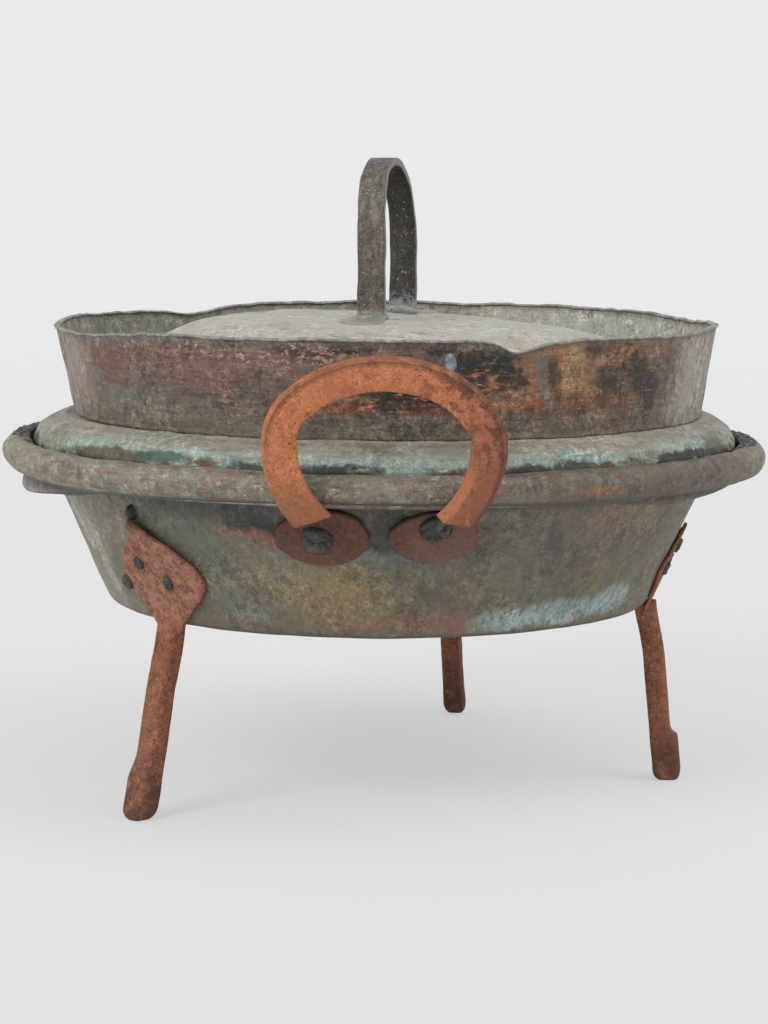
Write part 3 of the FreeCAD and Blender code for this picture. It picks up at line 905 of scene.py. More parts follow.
# %% [markdown]
# ## Horseshoe handles
#
# A flat bar is bent on edge into a horseshoe. Its outside is bevelled along the top, and its
# right-hand end is twisted so that the inner side shows. From each end a neck runs back under the
# rim to an oval palm. The arc runs are those of the solid: a flat crown, two knuckles, two sides.

# %% Horseshoe
bar_wide = 17.0
bar_thick = 8.0
crown_radius, knuckle_radius, side_radius = 74.0, 34.0, 59.5
knuckle_offset, end_height = 25.5, 41.0
end_angle = 43.5                                    # each side runs this far past level
twist_angle = -39                                   # of the right-hand end
end_cut = 8.0                                       # the ends are cut off this much aslant
knuckle_tilt = math.asin(knuckle_offset / (crown_radius - knuckle_radius))
crown_drop = (crown_radius - knuckle_radius) * math.cos(knuckle_tilt)
handle_front = horseshoe_low[1]
handle_back = handle_front + bar_thick
handle_middle = horseshoe_high[2] - crown_radius + crown_drop


def horseshoe_path():
    """Middle line of the bar from its left end to its right end, and its outward directions."""
    side_shift = knuckle_offset + knuckle_radius - side_radius
    shoulder = 90 - math.degrees(knuckle_tilt)
    runs = [
        (-side_shift, handle_middle, side_radius, 180 + end_angle, 180, 22),
        (-knuckle_offset, handle_middle, knuckle_radius, 180, 180 - shoulder, 12),
        (0, handle_middle - crown_drop, crown_radius, 180 - shoulder, shoulder, 34),
        (knuckle_offset, handle_middle, knuckle_radius, shoulder, 0, 12),
        (side_shift, handle_middle, side_radius, 0, -end_angle, 22),
    ]
    places, outs = [], []
    for x, z, radius, first, last, steps in runs:
        for step in range(steps + (first == 0)):
            angle = math.radians(first + (last - first) * step / steps)
            out = np.array([math.cos(angle), 0, math.sin(angle)])
            flat = 1.0 * bell(angle, math.pi / 2, 0.7) + 1.7 * bell(angle, 0.62, 0.32)
            places.append(np.array([x, 0, z]) + out * (radius - bar_wide / 2 - flat))
            outs.append(out)
    return np.array(places), np.array(outs)


def make_horseshoe(seed, twist):
    """The bar in front of the rim, with the marks that its finish needs."""
    path, outs = horseshoe_path()
    share = np.linspace(0, 1, len(path))
    front = np.array([0, -1.0, 0])
    turn = np.radians(twist) * smooth(share, 0.72, 0.96)
    reach = bar_wide / 2 * np.abs(np.sin(turn)) + bar_thick / 2 * np.cos(turn)
    path[:, 1] = handle_front + 0.3 + reach
    across = [out * math.cos(a) + front * math.sin(a) for out, a in zip(outs, turn)]
    through = [front * math.cos(a) - out * math.sin(a) for out, a in zip(outs, turn)]
    bevel = 0.7 + 2.0 * smooth(share, 0.08, 0.3) * smooth(share, 1.0, 0.8)
    outlines = [bar_outline(bar_wide, bar_thick,
                            [(cut, cut * 0.5), (0.9, 0.9), (0.9, 0.9), (0.9, 0.9)])
                for cut in bevel]
    rows = carried(path, across, through, outlines)
    along = np.gradient(path, axis=0)
    along /= np.linalg.norm(along, axis=1, keepdims=True)
    cut = end_cut * (smooth(share, 0.0, 0.13) - 1 + smooth(share, 0.87, 1.0))
    wide, deep = np.moveaxis(np.array(outlines), -1, 0)
    inner = (bar_wide / 2 - wide) / bar_wide
    rows = rows + (cut[:, None] * inner)[:, :, None] * along[:, None, :]
    points, faces = closed_bar(rows)
    from_edge = wide - bar_wide / 2
    skin = smooth(from_edge + bevel[:, None] * 0.7, -0.4, 0.2)
    skin *= (smooth(share, 0.22, 0.42) * smooth(share, 0.95, 0.85))[:, None]
    lap = np.where(deep > bar_thick * 0.28, bell(from_edge + bevel[:, None], 0, 0.4), 0.0)
    lap *= smooth(share, 0.1, 0.3)[:, None]
    bare_cap = np.zeros(len(cap_rings) * wide.shape[1])
    marks = {name: np.concatenate([bare_cap, mark.reshape(-1), bare_cap])
             for name, mark in (("lap", lap), ("skin", skin))}
    return hammered(points, 0.28, seed, 9.0), faces, marks


print("horseshoe centred at %.1f" % handle_middle)

# %% [markdown]
# ## Necks, palms and the whole handle
#
# A neck is a thin bar that runs back under the rim, and a palm an oval plate on the wall. Both
# handles are made at the front and the rear one is turned half round, so it fits as well as the
# front one. Only where a handle touches the wall does it take part in the dents of the pan.

# %% Whole handle
front_azimuth = -90                                 # of the wall under the front handle
neck_steps = 12
palm_thick = 3.2


def make_neck(side, seed):
    """From the back of one end of the bar to the wall above the palm."""
    start = np.array([side * 36.0, handle_back - 1.0, handle_middle - end_height + 4.0])
    wall, _, _, face = wall_frame(front_azimuth, side * 35.0, ledge_z - 5.5)
    end = wall + face * 1.0
    path = [start + (end - start) * step / neck_steps for step in range(neck_steps + 1)]
    across = [np.array([1.0, 0, side * -0.25])] * len(path)
    through = [np.array([0, 0, 1.0])] * len(path)
    outline = bar_outline(11.0, 4.4, [(0.8, 0.8)] * 4)
    points, faces = closed_bar(carried(path, across, through, [outline] * len(path)))
    return hammered(points, 0.25, seed), faces


def make_palm(along, down, half_wide, half_high, seed):
    """An oval plate, its middle along the wall from the front and down from the ledge."""
    angle = np.arange(72) * math.tau / 72
    ragged = 1 + 0.07 * round_noise(angle, 1, seed) + 0.03 * round_noise(angle, 4, seed)
    middle = np.array([along, ledge_z - down])
    outline = middle + np.stack([half_wide * np.cos(angle) * ragged,
                                 half_high * np.sin(angle) * ragged], axis=1)
    return wall_plate(outline, middle, front_azimuth, palm_thick, seed)


def half_turn(points):
    """The same shape at the opposite side of the oven."""
    return np.asarray(points) * (-1, -1, 1)


def make_handle(name, node, material, seed, rear):
    bar_points, bar_faces, marks = make_horseshoe(seed, 0 if rear else twist_angle)
    points, faces = joined([
        (bar_points, bar_faces), make_neck(-1, seed - 1), make_neck(1, seed + 1),
        make_palm(-28.8, 16.2, 24.2, 14.6, seed), make_palm(27.6, 15.2, 22.6, 13.4, seed + 1)])
    rest = np.zeros(len(points) - len(bar_points))
    marks = {mark: np.concatenate([values, rest]) for mark, values in marks.items()}
    held = smooth(-points[:, 1], 208, 196)[:, None]
    points = half_turn(points) if rear else points
    points = points * (1 - held) + pan_dents(points) * held
    limit = -handle_front - 0.02                    # the hammer marks stay inside the solid's box
    points[:, 1] = points[:, 1].clip(-limit, limit)
    mesh_piece(name, points, faces, material, "pan", [node], marks)


print("palms are %.1f mm thick" % palm_thick)

# %% [markdown]
# ## Legs
#
# Each leg is a square bar drawn out at the top into a leaf that is riveted to the wall, and folded
# back at the bottom into a heel. The left leaf is broad and bent off at its tip; the right one has
# sprung away from the wall. One function makes all three, from a table of where each stands and
# how it was forged. Each leaf outline is a few points, millimetres along and up.

# %% Leg table
Leg = namedtuple("Leg", "azimuth splay lean stout bend heel_top heel_slope heel_size leaf_thick")
legs = {
    "leg_left": Leg(-137.0, 29.5, 12.0, 1.13, 0.5, 34, 14, 1.0, 3.0),
    "leg_right": Leg(-8.0, 9.5, 0.0, 1.2, 0.3, 28.5, 4, 1.0, 2.0),
    "leg_back": Leg(75.0, 25.5, 0.0, 1.0, 0.3, 40, 30, 0.35, 3.0),
}
leaf_shapes = {
    "leg_left": [(6, -6), (9.8, -1), (22, 10), (33.5, 19), (38, 27.5), (35, 36), (25, 45.5),
                 (14, 52), (4, 59), (0.5, 60), (-1.5, 56), (-6, 48), (-16, 41), (-22, 31),
                 (-23.5, 26), (-20, 18), (-9.5, 2), (-7.5, -6)],
    "leg_right": [(6, -6), (9, 0), (19, 10), (26, 20), (25, 29), (15, 38), (5, 43), (0, 46),
                  (-5, 43), (-15, 37), (-25, 28), (-26, 19), (-18, 9), (-9, 0), (-6, -6)],
    "leg_back": [(6, -6), (9, 0), (19, 10), (27, 20), (24, 29), (14, 36), (5, 41), (0, 43),
                 (-5, 41), (-14, 36), (-25, 28), (-27, 19), (-18, 9), (-9, 0), (-6, -6)],
}


def sprung_tip(along, height):
    """The tip of the left leaf is bent off the wall."""
    rise = float(smooth(height, floor_of_pan + 22, floor_of_pan + 52))
    return 2.6 * rise * float(smooth(along, -12, 4))


def sprung_top(along, height):
    """The upper half of the right leaf stands a little off the wall."""
    return 0.3 * float(smooth(height, floor_of_pan + 20, floor_of_pan + 46))


leaf_springs = {"leg_left": sprung_tip, "leg_right": sprung_top, "leg_back": flush}
print("legs:", ", ".join(legs))

# %% [markdown]
# ## Making a leg
#
# The bar runs down and outwards in even steps. Its last few rings shrink on a quarter circle, so
# the foot is round, and the heel is only a deeper outline that is shifted outwards, which keeps
# the bar one closed skin. Two joined bars would show the fold better, but only from underneath.

# %% Making a leg
leg_wide, leg_deep = 12.0, 9.5
leg_steps = 40
foot_height = 6.5                                   # where the foot begins to round off
foot_rings = [5.0, 3.6, 2.4, 1.4, 0.7]
heel_depth = 3.8
left_kink = 3.2                                     # the left leg kinks outwards under the pan


def leg_bar(name, seed):
    leg = legs[name]
    angle = math.radians(leg.azimuth)
    out = np.array([math.cos(angle), math.sin(angle), 0.0])
    around = np.array([-out[1], out[0], 0.0])
    top = floor_of_pan - 0.2
    heights = np.concatenate([np.linspace(top + 1.5, foot_height, leg_steps + 1), foot_rings])
    share = 1 - heights / top
    path = np.array([out * (wall_foot + leg.splay * s) + around * leg.lean * s for s in share])
    path[:, 2] = heights
    path += around * (leg.bend * np.sin(share * 4.0 + seed))[:, None]
    if name == "leg_left":
        path[:, 0] -= left_kink * smooth(share, 0.03, 0.35)
    heels = smooth(heights, leg.heel_top, leg.heel_top - leg.heel_slope) * leg.heel_size
    feet = 1 - np.sqrt(1 - ((foot_height - heights) / foot_height).clip(0, 1) ** 2)
    rows = []
    for index, (place, heel, foot) in enumerate(zip(path, heels, feet)):
        uneven = 0.25 * math.sin(index * 0.4 + seed)
        wide = leg_wide * leg.stout * (1 - 0.5 * foot) + uneven
        deep = (leg_deep * leg.stout + heel_depth * heel) * (1 - 0.5 * foot)
        cut = 2.1 + 0.6 * foot
        outline = bar_outline(wide, deep, [(cut, cut)] * 2 + [(cut * 0.8, cut * 0.8)] * 2)
        middle = place + out * heel_depth / 2 * heel
        rows.append(middle + outline[:, :1] * around + outline[:, 1:] * out)
    points, faces = closed_bar(np.array(rows))
    points = hammered(points, 0.28, seed, 13.0)
    points[:, 2] = np.maximum(points[:, 2], 0.02)   # nothing goes through the floor
    return points, faces


def make_leg(name, material, seed):
    outline = curve_through([(along, floor_of_pan + up) for along, up in leaf_shapes[name]], 6)
    middle = np.array([outline[:, 0].mean(), floor_of_pan + 24])
    leaf = wall_plate(outline, middle, legs[name].azimuth, legs[name].leaf_thick, seed,
                      leaf_springs[name])
    points, faces = joined([leg_bar(name, seed), leaf])
    held = smooth(points[:, 2], floor_of_pan - 30, floor_of_pan)[:, None]
    points = points * (1 - held) + pan_dents(points) * held
    mesh_piece(name + "_forged", points, faces, material, "pan", [name])


print("a leg bar has", leg_steps + 1 + len(foot_rings), "rings")

# %% [markdown]
# ## Strap on the lid
#
# A narrow strap arches over the dome, turned a little from the front-to-back line. Its arch is a
# superellipse, squarer than a half circle, as a bar is that was bent over two corners. Each end is
# spread flat on the dome and riveted; the feet are plates that follow the dome under them.

# %% Strap
strap_turn = math.radians(90 - 14)
strap_wide, strap_thick, strap_half = 15.0, 4.8, 36.0
strap_top = strap_high[2] - 0.4
strap_spring = strap_top - 46.0                     # where the straight legs end
strap_rise = strap_top - strap_spring - strap_thick / 2
strap_leg_steps = 12
arch_steps, arch_power = 40, 2.25
dome_top = trough_z + dome_height
strap_line = np.array([math.cos(strap_turn), math.sin(strap_turn), 0.0])
strap_side = np.array([-strap_line[1], strap_line[0], 0.0])
upright = np.array([0, 0, 1.0])


def strap_path():
    """Middle line of the strap from its front foot to its back foot, with its outward side."""
    foot_z = dome_top + 1.0
    rises = [foot_z + (strap_spring - foot_z) * step / strap_leg_steps
             for step in range(strap_leg_steps)]
    path = [(upright * z - strap_line * strap_half, -strap_line) for z in rises]
    for angle in np.radians(np.linspace(180, 0, arch_steps + 1)):
        across, rise = math.cos(angle), math.sin(angle)
        swell = (abs(across) ** arch_power + rise ** arch_power) ** (-1 / arch_power)
        spot = (strap_line * strap_half * across * swell
                + upright * (strap_spring + strap_rise * rise * swell))
        out = strap_line * across / strap_half + upright * rise / strap_rise
        path.append((spot, out / np.linalg.norm(out)))
    path += [(upright * z + strap_line * strap_half, strap_line) for z in reversed(rises)]
    return path


def make_strap():
    places, outs = zip(*strap_path())
    outlines = [bar_outline(strap_wide - 1.6 * smooth(share, 0.55, 0.0)
                            + 0.35 * math.sin(share * 23), strap_thick, [(0.8, 0.8)] * 4)
                for share in np.abs(np.linspace(-1, 1, len(places)))]
    points, faces = closed_bar(carried(places, [strap_side] * len(places), outs, outlines))
    return hammered(points, 0.3, 71, 9.0), faces


print("strap top at %.1f" % strap_top)

# %% [markdown]
# ## Feet of the strap
#
# A foot is a tongue of thin iron. Shrinkwrapping a flat plate onto the dome would follow every
# dent, so the height of the dome is worked out instead, and the tongue is laid on it with a crown
# along its middle, a rise where it turns up into the strap, and a few wrinkles there.

# %% Feet of the strap
foot_outline = [(-5, -7.6), (4, -8.0), (14, -10), (26, -11.5), (34, -8), (36, 0), (34, 8),
                (26, 11.5), (14, 10), (4, 8.0), (-5, 7.6), (-6, 0)]
foot_middle = np.array([13.0, 0.0])
foot_plate = [(0.0, 2.2), (0.35, 2.2), (0.6, 2.1), (0.8, 1.9), (0.92, 1.6), (0.98, 1.0),
              (1.0, 0.3), (1.0, -0.6), (0.5, -0.6), (0.0, -0.6)]        # size and lift of each ring


def dome_height_at(x, y):
    """Height of the worn dome above the floor."""
    radius = math.hypot(x - dome_shift, y)
    share = max(0.0, 1 - (radius / dome_foot) ** dome_power) ** (1 / dome_power)
    return trough_z + dome_height * share - dome_lean * (x - dome_shift)


def make_strap_foot(end, seed):
    """A tongue spread outwards on the dome from one leg of the strap."""
    outline = curve_through(foot_outline, 7)
    rows = []
    for size, lift in foot_plate:
        row = []
        for along, across in foot_middle + (outline - foot_middle) * size:
            spot = strap_line * end * (strap_half + along - 2) + strap_side * across
            near = float(smooth(along, 7, -2))
            wrinkle = 0.7 * math.sin(along * 0.9 + seed) * float(smooth(along, 22, 6))
            crown = max(0.0, 1 - (across / 12) ** 2)
            height = dome_height_at(spot[0], spot[1]) + lift * (0.55 + 0.45 * crown)
            if lift > 0:
                height += (3.2 * near + wrinkle * 0.5) * crown
            row.append((spot[0], spot[1], height))
        rows.append(row)
    points, faces = ring_mesh(rows)
    return hammered(points, 0.2, seed, 6.0), faces


def settle(points):
    """Move a piece that stands on the dome with the dome's own dents under it."""
    points = np.array(points, float)
    under = np.column_stack([points[:, :2], np.full(len(points), dome_top)])
    points[:, 2] += dome_sag(under) * smooth(points[:, 2], dome_top + 40, dome_top + 6)
    return points


print("the dome under the front foot is %.1f high" % dome_height_at(0, -strap_half))

# %% [markdown]
# ## Copper of the pan
#
# The outside of the pan has been in many fires and was never scoured, so its copper is a dull
# grey-brown with olive and blue-black clouds. Verdigris sits where it stood wet, and the bare
# reddish metal shows where it was rubbed. A base of soft noise gives the clouds; the larger stains
# are placed one by one round the oven, because their places are what makes this oven itself.

# %% Stains of the pan's wall
def stains(f, colour, rows, ragged, grain):
    """Place ragged spots: turn, height, half width, half height, lean, strength and colour."""
    for index, (turn, height, wide, high, lean, strength, shade) in enumerate(rows):
        mask = f.patch(turn, height, wide, high, ragged, grain, 0.4, lean, index * 1.7)
        colour = f.mix(mask * strength, colour, tone(shade))
    return colour


wall_stains = [
    (-9.0, 121, 34, 17, 0.3, 0.60, "#8c7850"), (-20, 140, 26, 12, 0.6, 0.45, "#7f7664"),
    (-33, 128, 20, 14, 0.0, 0.35, "#7b7665"), (8, 122, 30, 12, 0.2, 0.35, "#5f5a4a"),
    (27, 140, 30, 20, -0.5, 0.45, "#68675c"), (-66, 138, 9, 26, 0.4, 0.55, "#aeab9c"),
    (-60, 122, 9, 16, 0.0, 0.4, "#59554b"), (-17, 151, 20, 5, 1.6, 0.75, "#8a6752"),
    (-22.5, 160, 13, 8, 0.4, 0.95, "#34373a"), (-18, 157, 10, 6, 0.9, 0.85, "#34373a"),
    (-12, 147, 26, 3, 0.4, 0.6, "#86624f"), (3, 144, 30, 3, 0.0, 0.4, "#6f7a7c"),
    # The wide dark band at -27 degrees, just under the rim, is painted shade under the rolled rim,
    # not a stain.
    (-27, 164, 46, 5, 0.0, 0.6, "#4a4a44"), (0.5, 158, 15, 13, 0.0, 0.85, "#3b3937"),
    (16, 150, 13, 12, 0.0, 0.5, "#4c4b48"),
    (-9, 143, 40, 4, 0.2, 0.35, "#6f7677"), (31, 150, 5, 12, 0.9, 0.5, "#4e4d4b"),
    (43, 159, 19, 8, 0.3, 0.5, "#876859"), (54, 158, 9, 9, 0.0, 0.4, "#866a5c"),
    (10, 107, 24, 6, 0.5, 0.6, "#87594a"), (15, 113, 5, 9, 0.0, 0.35, "#85594a"),
    (55, 135, 18, 20, 0.0, 0.4, "#6f695f"), (-44, 158, 16, 7, 0.0, 0.4, "#6f7a6c"),
    (-36, 152, 18, 11, 0.2, 0.55, "#667064"), (-31, 138, 12, 9, -0.3, 0.5, "#58625a"),
    (-71, 152, 6, 16, 0.3, 0.65, "#b9b6a8"), (-40, 116, 22, 8, 0.2, 0.5, "#57524a"),
    (-28, 112, 18, 5, 0.0, 0.5, "#6b7468"), (-3, 106, 26, 3.2, 0.0, 0.6, "#85634e"),
    (-19.5, 151.5, 9, 4.5, 0.8, 0.7, "#94634f"), (36, 132, 14, 14, -0.3, 0.4, "#565750"),
    (20, 128, 20, 9, 0.2, 0.35, "#77735f"), (48, 146, 8, 14, 0.0, 0.4, "#5c5b55"),
    (-52, 140, 7, 20, 0.2, 0.4, "#8f8c7e"),
]
print(len(wall_stains), "stains on the wall")

# %% [markdown]
# ## Patina of the pan
#
# The pan has three skins: the wall and bottom, the rolled rim, which hands and damp have worn in
# streaks along it, and the tinned inside. Each gets its own base colour and coats, and the three
# are joined by masks of height, radius and the way the surface faces. Three materials on one mesh
# would do too, but their borders would be as sharp as the faces.

# %% Patina of the pan
def wall_skin(f, broad, cloud, fine, brushed):
    """Colour of the outside below the rim."""
    wall = f.layers(
        tone("#6b6558"),
        (broad.step(0.44, 0.60), tone("#716a56")),
        (cloud.step(0.52, 0.68) * 0.7, tone("#5b5c52")),
        (cloud.step(0.44, 0.30) * 0.6, tone("#7a6c5b")),
        # Painted light: the wall is lighter towards the left, the side that faces the window lamp.
        (f.turn.step(-40, -74) * 0.75, tone("#918b7e")),
    )
    wall = stains(f, wall, wall_stains, 0.75, 8.0)
    turquoise = (f.patch(24, 106.5, 20, 6.5, 0.35, 8) + f.patch(38, 109, 34, 6.5, 0.3, 8, seed=2)
                 + f.patch(52, 112, 20, 7.5, 0.3, 7, seed=3)) * brushed.step(0.22, 0.60)
    foot = f.z - floor_of_pan
    return f.layers(
        wall,
        (turquoise * 0.85, tone("#97aaa8")),
        (foot.step(6, 1) * cloud.step(0.40, 0.55) * 0.6, tone("#7d5343")),
        (foot.step(5, 0) * fine.step(0.52, 0.6) * 0.6, tone("#86a093")),
        # Painted shade: the top band of the wall, under the overhanging rolled rim, is darkened.
        (f.z.step(ledge_z - 7, ledge_z + 1) * 0.75, tone("#3b3a36")),
        (brushed.step(0.55, 0.72) * 0.35, tone("#8c897b")),
        (brushed.step(0.44, 0.30) * 0.35, tone("#46443c")),
    )


def rim_skin(f, cloud):
    """Colour of the rolled rim."""
    streak = f.grain(7, 5, 0.65, (5, 5, 0.8), seed=5)
    spot = f.grain(9, 5, 0.6, (2, 2, 0.7), seed=6)
    under = f.z.step(wire_z - 3.5, wire_z - 5.5) * f.turn.step(-5, -20)
    return f.layers(
        tone("#7c7365"),
        (f.turn.step(-20, -62) * 0.55, tone("#8b8571")),
        (streak.step(0.48, 0.60) * 0.75, tone("#6b5d52")),
        (spot.step(0.50, 0.62) * 0.6, tone("#85897a")),
        (f.grain(7, 5, 0.7, (2, 2, 0.8), seed=7).step(0.53, 0.63) * 0.55, tone("#86604c")),
        (f.grain(4, 5, 0.7, (2, 2, 0.8), seed=8).step(0.58, 0.66) * 0.6, tone("#9fab9e")),
        (streak.step(0.46, 0.34) * 0.6, tone("#4f483f")),
        (f.turn.step(-24, -66) * cloud.step(0.40, 0.58) * 0.45, tone("#938e76")),
        ((f.turn - 42).math("ABSOLUTE").step(30, 12) * 0.85, tone("#62564c")),
        (under * cloud.step(0.40, 0.55) * 0.8, tone("#b3bcb6")),
        (f.patch(30, wire_z, 10, 2.4, 0.9, 2.5) * 0.6, tone("#9c6a4e")),
    )


def tinned_skin(f, broad, cloud, fine):
    """Colour of the tinned inside."""
    return f.layers(
        tone("#857f71"),
        (broad.step(0.44, 0.60) * 0.7, tone("#979180")),
        (cloud.step(0.50, 0.64) * 0.7, tone("#68635a")),
        (fine.step(0.54, 0.64) * 0.5, tone("#a5a08f")),
        (f.grain(11, 5, 0.7, seed=13).step(0.58, 0.68) * 0.6, tone("#7a5a49")),
    )


def pan_finish():
    f = Finish("pan patina")
    broad = f.grain(62, 4, 0.6)
    cloud = f.grain(19, 6, 0.66, seed=1)
    fine = f.grain(4.2, 6, 0.7, seed=2)
    brushed = f.grain(2.6, 4, 0.65, (1, 1, 7), seed=3)
    speck = f.grain(1.3, 3, 0.6, seed=4)
    wall = wall_skin(f, broad, cloud, fine, brushed)
    colour = f.mix(f.z.step(ledge_z - 1, ledge_z + 2), wall, rim_skin(f, cloud))
    inner = (f.outward.step(0.05, -0.35) + f.up.step(0.3, 0.8)).math("MINIMUM", 1.0)
    inner = inner * f.radius.step(196, 192) * f.z.step(floor_of_pan + 0.6, floor_of_pan + 1.0)
    colour, relief = f.weather(colour, 0.30)
    colour = f.layers(
        colour,
        (speck.step(0.62, 0.70) * 0.5, tone("#2f2d29")),
        (f.flecks(2.2, 0.06, 11) * 0.6, tone("#a9aca0")),
        (f.flecks(3.4, 0.05, 12) * 0.6, tone("#7c4e3c")),
        (inner, tinned_skin(f, broad, cloud, fine)),
        (f.up.step(-0.6, -0.95), tone("#45423c")),
    )
    rough = 0.56 + (cloud - 0.5) * 0.5 + (fine - 0.5) * 0.3
    height = (cloud - 0.5) * 1.1 + relief * 0.7 + (brushed - 0.5) * 0.14 + (speck - 0.5) * 0.12
    return f.done(colour, rough, 0.22, height)


pan_copper = pan_finish()

# %% [markdown]
# ## Verdigris of the lid
#
# Ash and damp have left a grey-green dust on the dome and in the trough. On the shoulder, rain
# water ran down and stopped at the edge, so the lower half is turquoise and its edge almost black.

# %% Lid verdigris
def lid_finish():
    f = Finish("lid verdigris")
    cloud = f.grain(22, 6, 0.65)
    fine = f.grain(4, 6, 0.7, seed=1)
    streak = f.grain(5, 5, 0.6, (6, 6, 0.5), seed=2)
    dome = f.layers(
        tone("#a8a59b"),
        (cloud.step(0.42, 0.62), tone("#acaca3")),
        (f.grain(12, 5, 0.6, (2.4, 1, 1), seed=3).step(0.50, 0.68) * 0.35, tone("#96948a")),
        (f.grain(30, 4, 0.6, seed=4).step(0.56, 0.70) * 0.5, tone("#8d8268")),
        (f.flecks(3, 0.05, 5) * 0.6, tone("#8d6b4c")),
    )
    slope = f.layers(
        tone("#8a8577"),
        (f.turn.step(-15, -60) * 0.7, tone("#9c9c90")),
        (f.turn.step(35, 75) * 0.7, tone("#9d9d92")),
        (streak.step(0.50, 0.62) * 0.6, tone("#726a5b")),
        (cloud.step(0.54, 0.66) * 0.5, tone("#a6ab9f")),
    )
    ragged = (cloud - 0.5) * 11 + (fine - 0.5) * 5
    level = f.z - shoulder_z + ragged
    ends = f.turn.math("ABSOLUTE") + (cloud - 0.5) * 30
    dry_ends = 1 - ends.step(56, 70) * ends.step(130, 112) * 0.7
    damp = level.step(8.4, 4.4) * f.grain(26, 4, 0.6, (2, 2, 1), seed=6).step(0.32, 0.5) * dry_ends
    wet_edge = f.grain(15, 4, 0.6, (2, 2, 1), seed=7).step(0.43, 0.53)
    bared = f.grain(12, 4, 0.6, (2, 2, 1), seed=8).step(0.53, 0.6)
    slope = f.layers(
        slope,
        (damp * 0.75, tone("#8ea297")),
        (damp * fine.step(0.50, 0.60) * 0.6, tone("#b6c4bb")),
        (damp * streak.step(0.53, 0.63) * 0.6, tone("#717468")),
        (level.step(2.6, 0.6) * wet_edge * 0.95, tone("#3a3f36")),
        (level.step(1.8, -1) * bared, tone("#6a4f3b")),
        (f.radius.step(trough_radius + 5.5, trough_radius + 1) * 0.7, tone("#9c978a")),
        (f.z.step(shoulder_z - 2.5, shoulder_z - 5), tone("#26251f")),
        (f.patch(-46, shoulder_z + 1, 26, 3.2, 0.5, 6), tone("#5f5c45")),
        (f.patch(-36, shoulder_z + 2, 16, 2.6, 0.5, 5, seed=2) * 0.8, tone("#3f5a50")),
        (f.patch(-66, shoulder_z + 3, 20, 5, 0.6, 6, seed=3) * 0.5, tone("#77705c")),
        (f.patch(66, shoulder_z + 3, 16, 3.6, 0.6, 6, seed=4) * 0.6, tone("#5c574c")),
    )
    colour = f.mix(f.radius.step(164, 168), dome, slope)
    colour = f.mix(f.flecks(1.6, 0.06, 9) * 0.5, colour, tone("#55524a"))
    colour, relief = f.weather(colour, 0.26)
    height = (cloud - 0.5) * 0.9 + relief * 0.8 + (streak - 0.5) * 0.25
    return f.done(colour, 0.78 + (fine - 0.5) * 0.3, 0.08, height)


lid_copper = lid_finish()

# %% [markdown]
# ## Stains of the collar
#
# Embers were heaped inside the collar and flames licked its outside, so it carries the richest
# colours: red-brown oxide, black soot burnt on in blots, and orange copper where soot has flaked
# away. The stains are placed one by one again, in three lists: oxide first, soot on it, and the
# soot that burnt on last over the flaked copper.

# %% Stains of the collar
collar_stains = [
    (-34, 236, 60, 14, 0.0, 0.65, "#76554a"), (-44, 216, 40, 9, 0.0, 0.7, "#716f64"),
    # The pale grey spots at -70, 66 and 80 degrees, on the two ends of the band, are painted
    # reflection, not oxide.
    (-70, 232, 26, 26, 0.0, 0.7, "#877a70"), (34, 238, 62, 15, 0.0, 0.8, "#835f43"),
    (32, 240, 8, 17, 0.0, 0.95, "#a4845c"), (28, 246, 10, 6, 0.0, 0.8, "#a5714a"),
    (43, 238, 15, 13, 0.0, 0.6, "#7b5236"), (0, 228, 52, 8, 0.0, 0.5, "#7d5741"),
    (16, 233, 22, 4, 0.1, 0.75, "#97663f"), (46, 230, 16, 10, 0.4, 0.75, "#3d3f3a"),
    (50, 221, 8, 9, 0.0, 0.6, "#44423c"), (3, 219.5, 64, 3.6, 0.0, 0.8, "#7a4a38"),
    (22, 220, 50, 2.4, 0.0, 0.7, "#a3664a"), (66, 234, 17, 24, 0.0, 0.85, "#8e8880"),
    (80, 232, 16, 26, 0.0, 0.8, "#8c867c"),
    (5, 210, 90, 5.5, 0.0, 0.65, "#666158"), (-62, 245, 22, 7, 0.0, 0.5, "#8a7469"),
]
soot_blots = [
    (15.3, 241, 15, 8, 0.0, 0.95, "#2c2f2c"), (9.5, 250, 7, 4, -0.5, 0.9, "#2b2b28"),
    (13, 231, 12, 3, 0.0, 0.9, "#272824"), (2.5, 231, 20, 5, 0.0, 0.95, "#2a2b27"),
    (7.3, 225.5, 30, 2.2, 0.0, 0.85, "#2a2624"), (-5, 235, 10, 6, 0.0, 0.8, "#33322e"),
    (3, 240, 16, 3, 0.0, 0.8, "#2d2b29"), (4, 224, 25, 7, 0.0, 0.8, "#2f302c"),
    (11, 222, 14, 2.4, 0.0, 0.9, "#262421"),
    (40, 229, 8, 7, 0.3, 0.7, "#35342d"), (35, 249, 9, 3, 0.0, 0.5, "#4a3b2e"),
    (20, 238, 8, 2.4, 0.3, 0.8, "#2e2b26"), (20, 229, 10, 1.8, 0.2, 0.7, "#332a24"),
    (24, 250.7, 8, 3, 0.0, 0.85, "#33302d"), (28, 236, 7, 8, 0.0, 0.6, "#3a372f"),
    (-14, 247, 14, 4, 0.5, 0.7, "#2f2b2b"), (-6, 249, 12, 3, 0.0, 0.8, "#2c2a2a"),
    (54, 234, 6, 14, 0.0, 0.5, "#4a4843"), (-22, 227, 16, 7, 0.0, 0.35, "#4f4a48"),
]
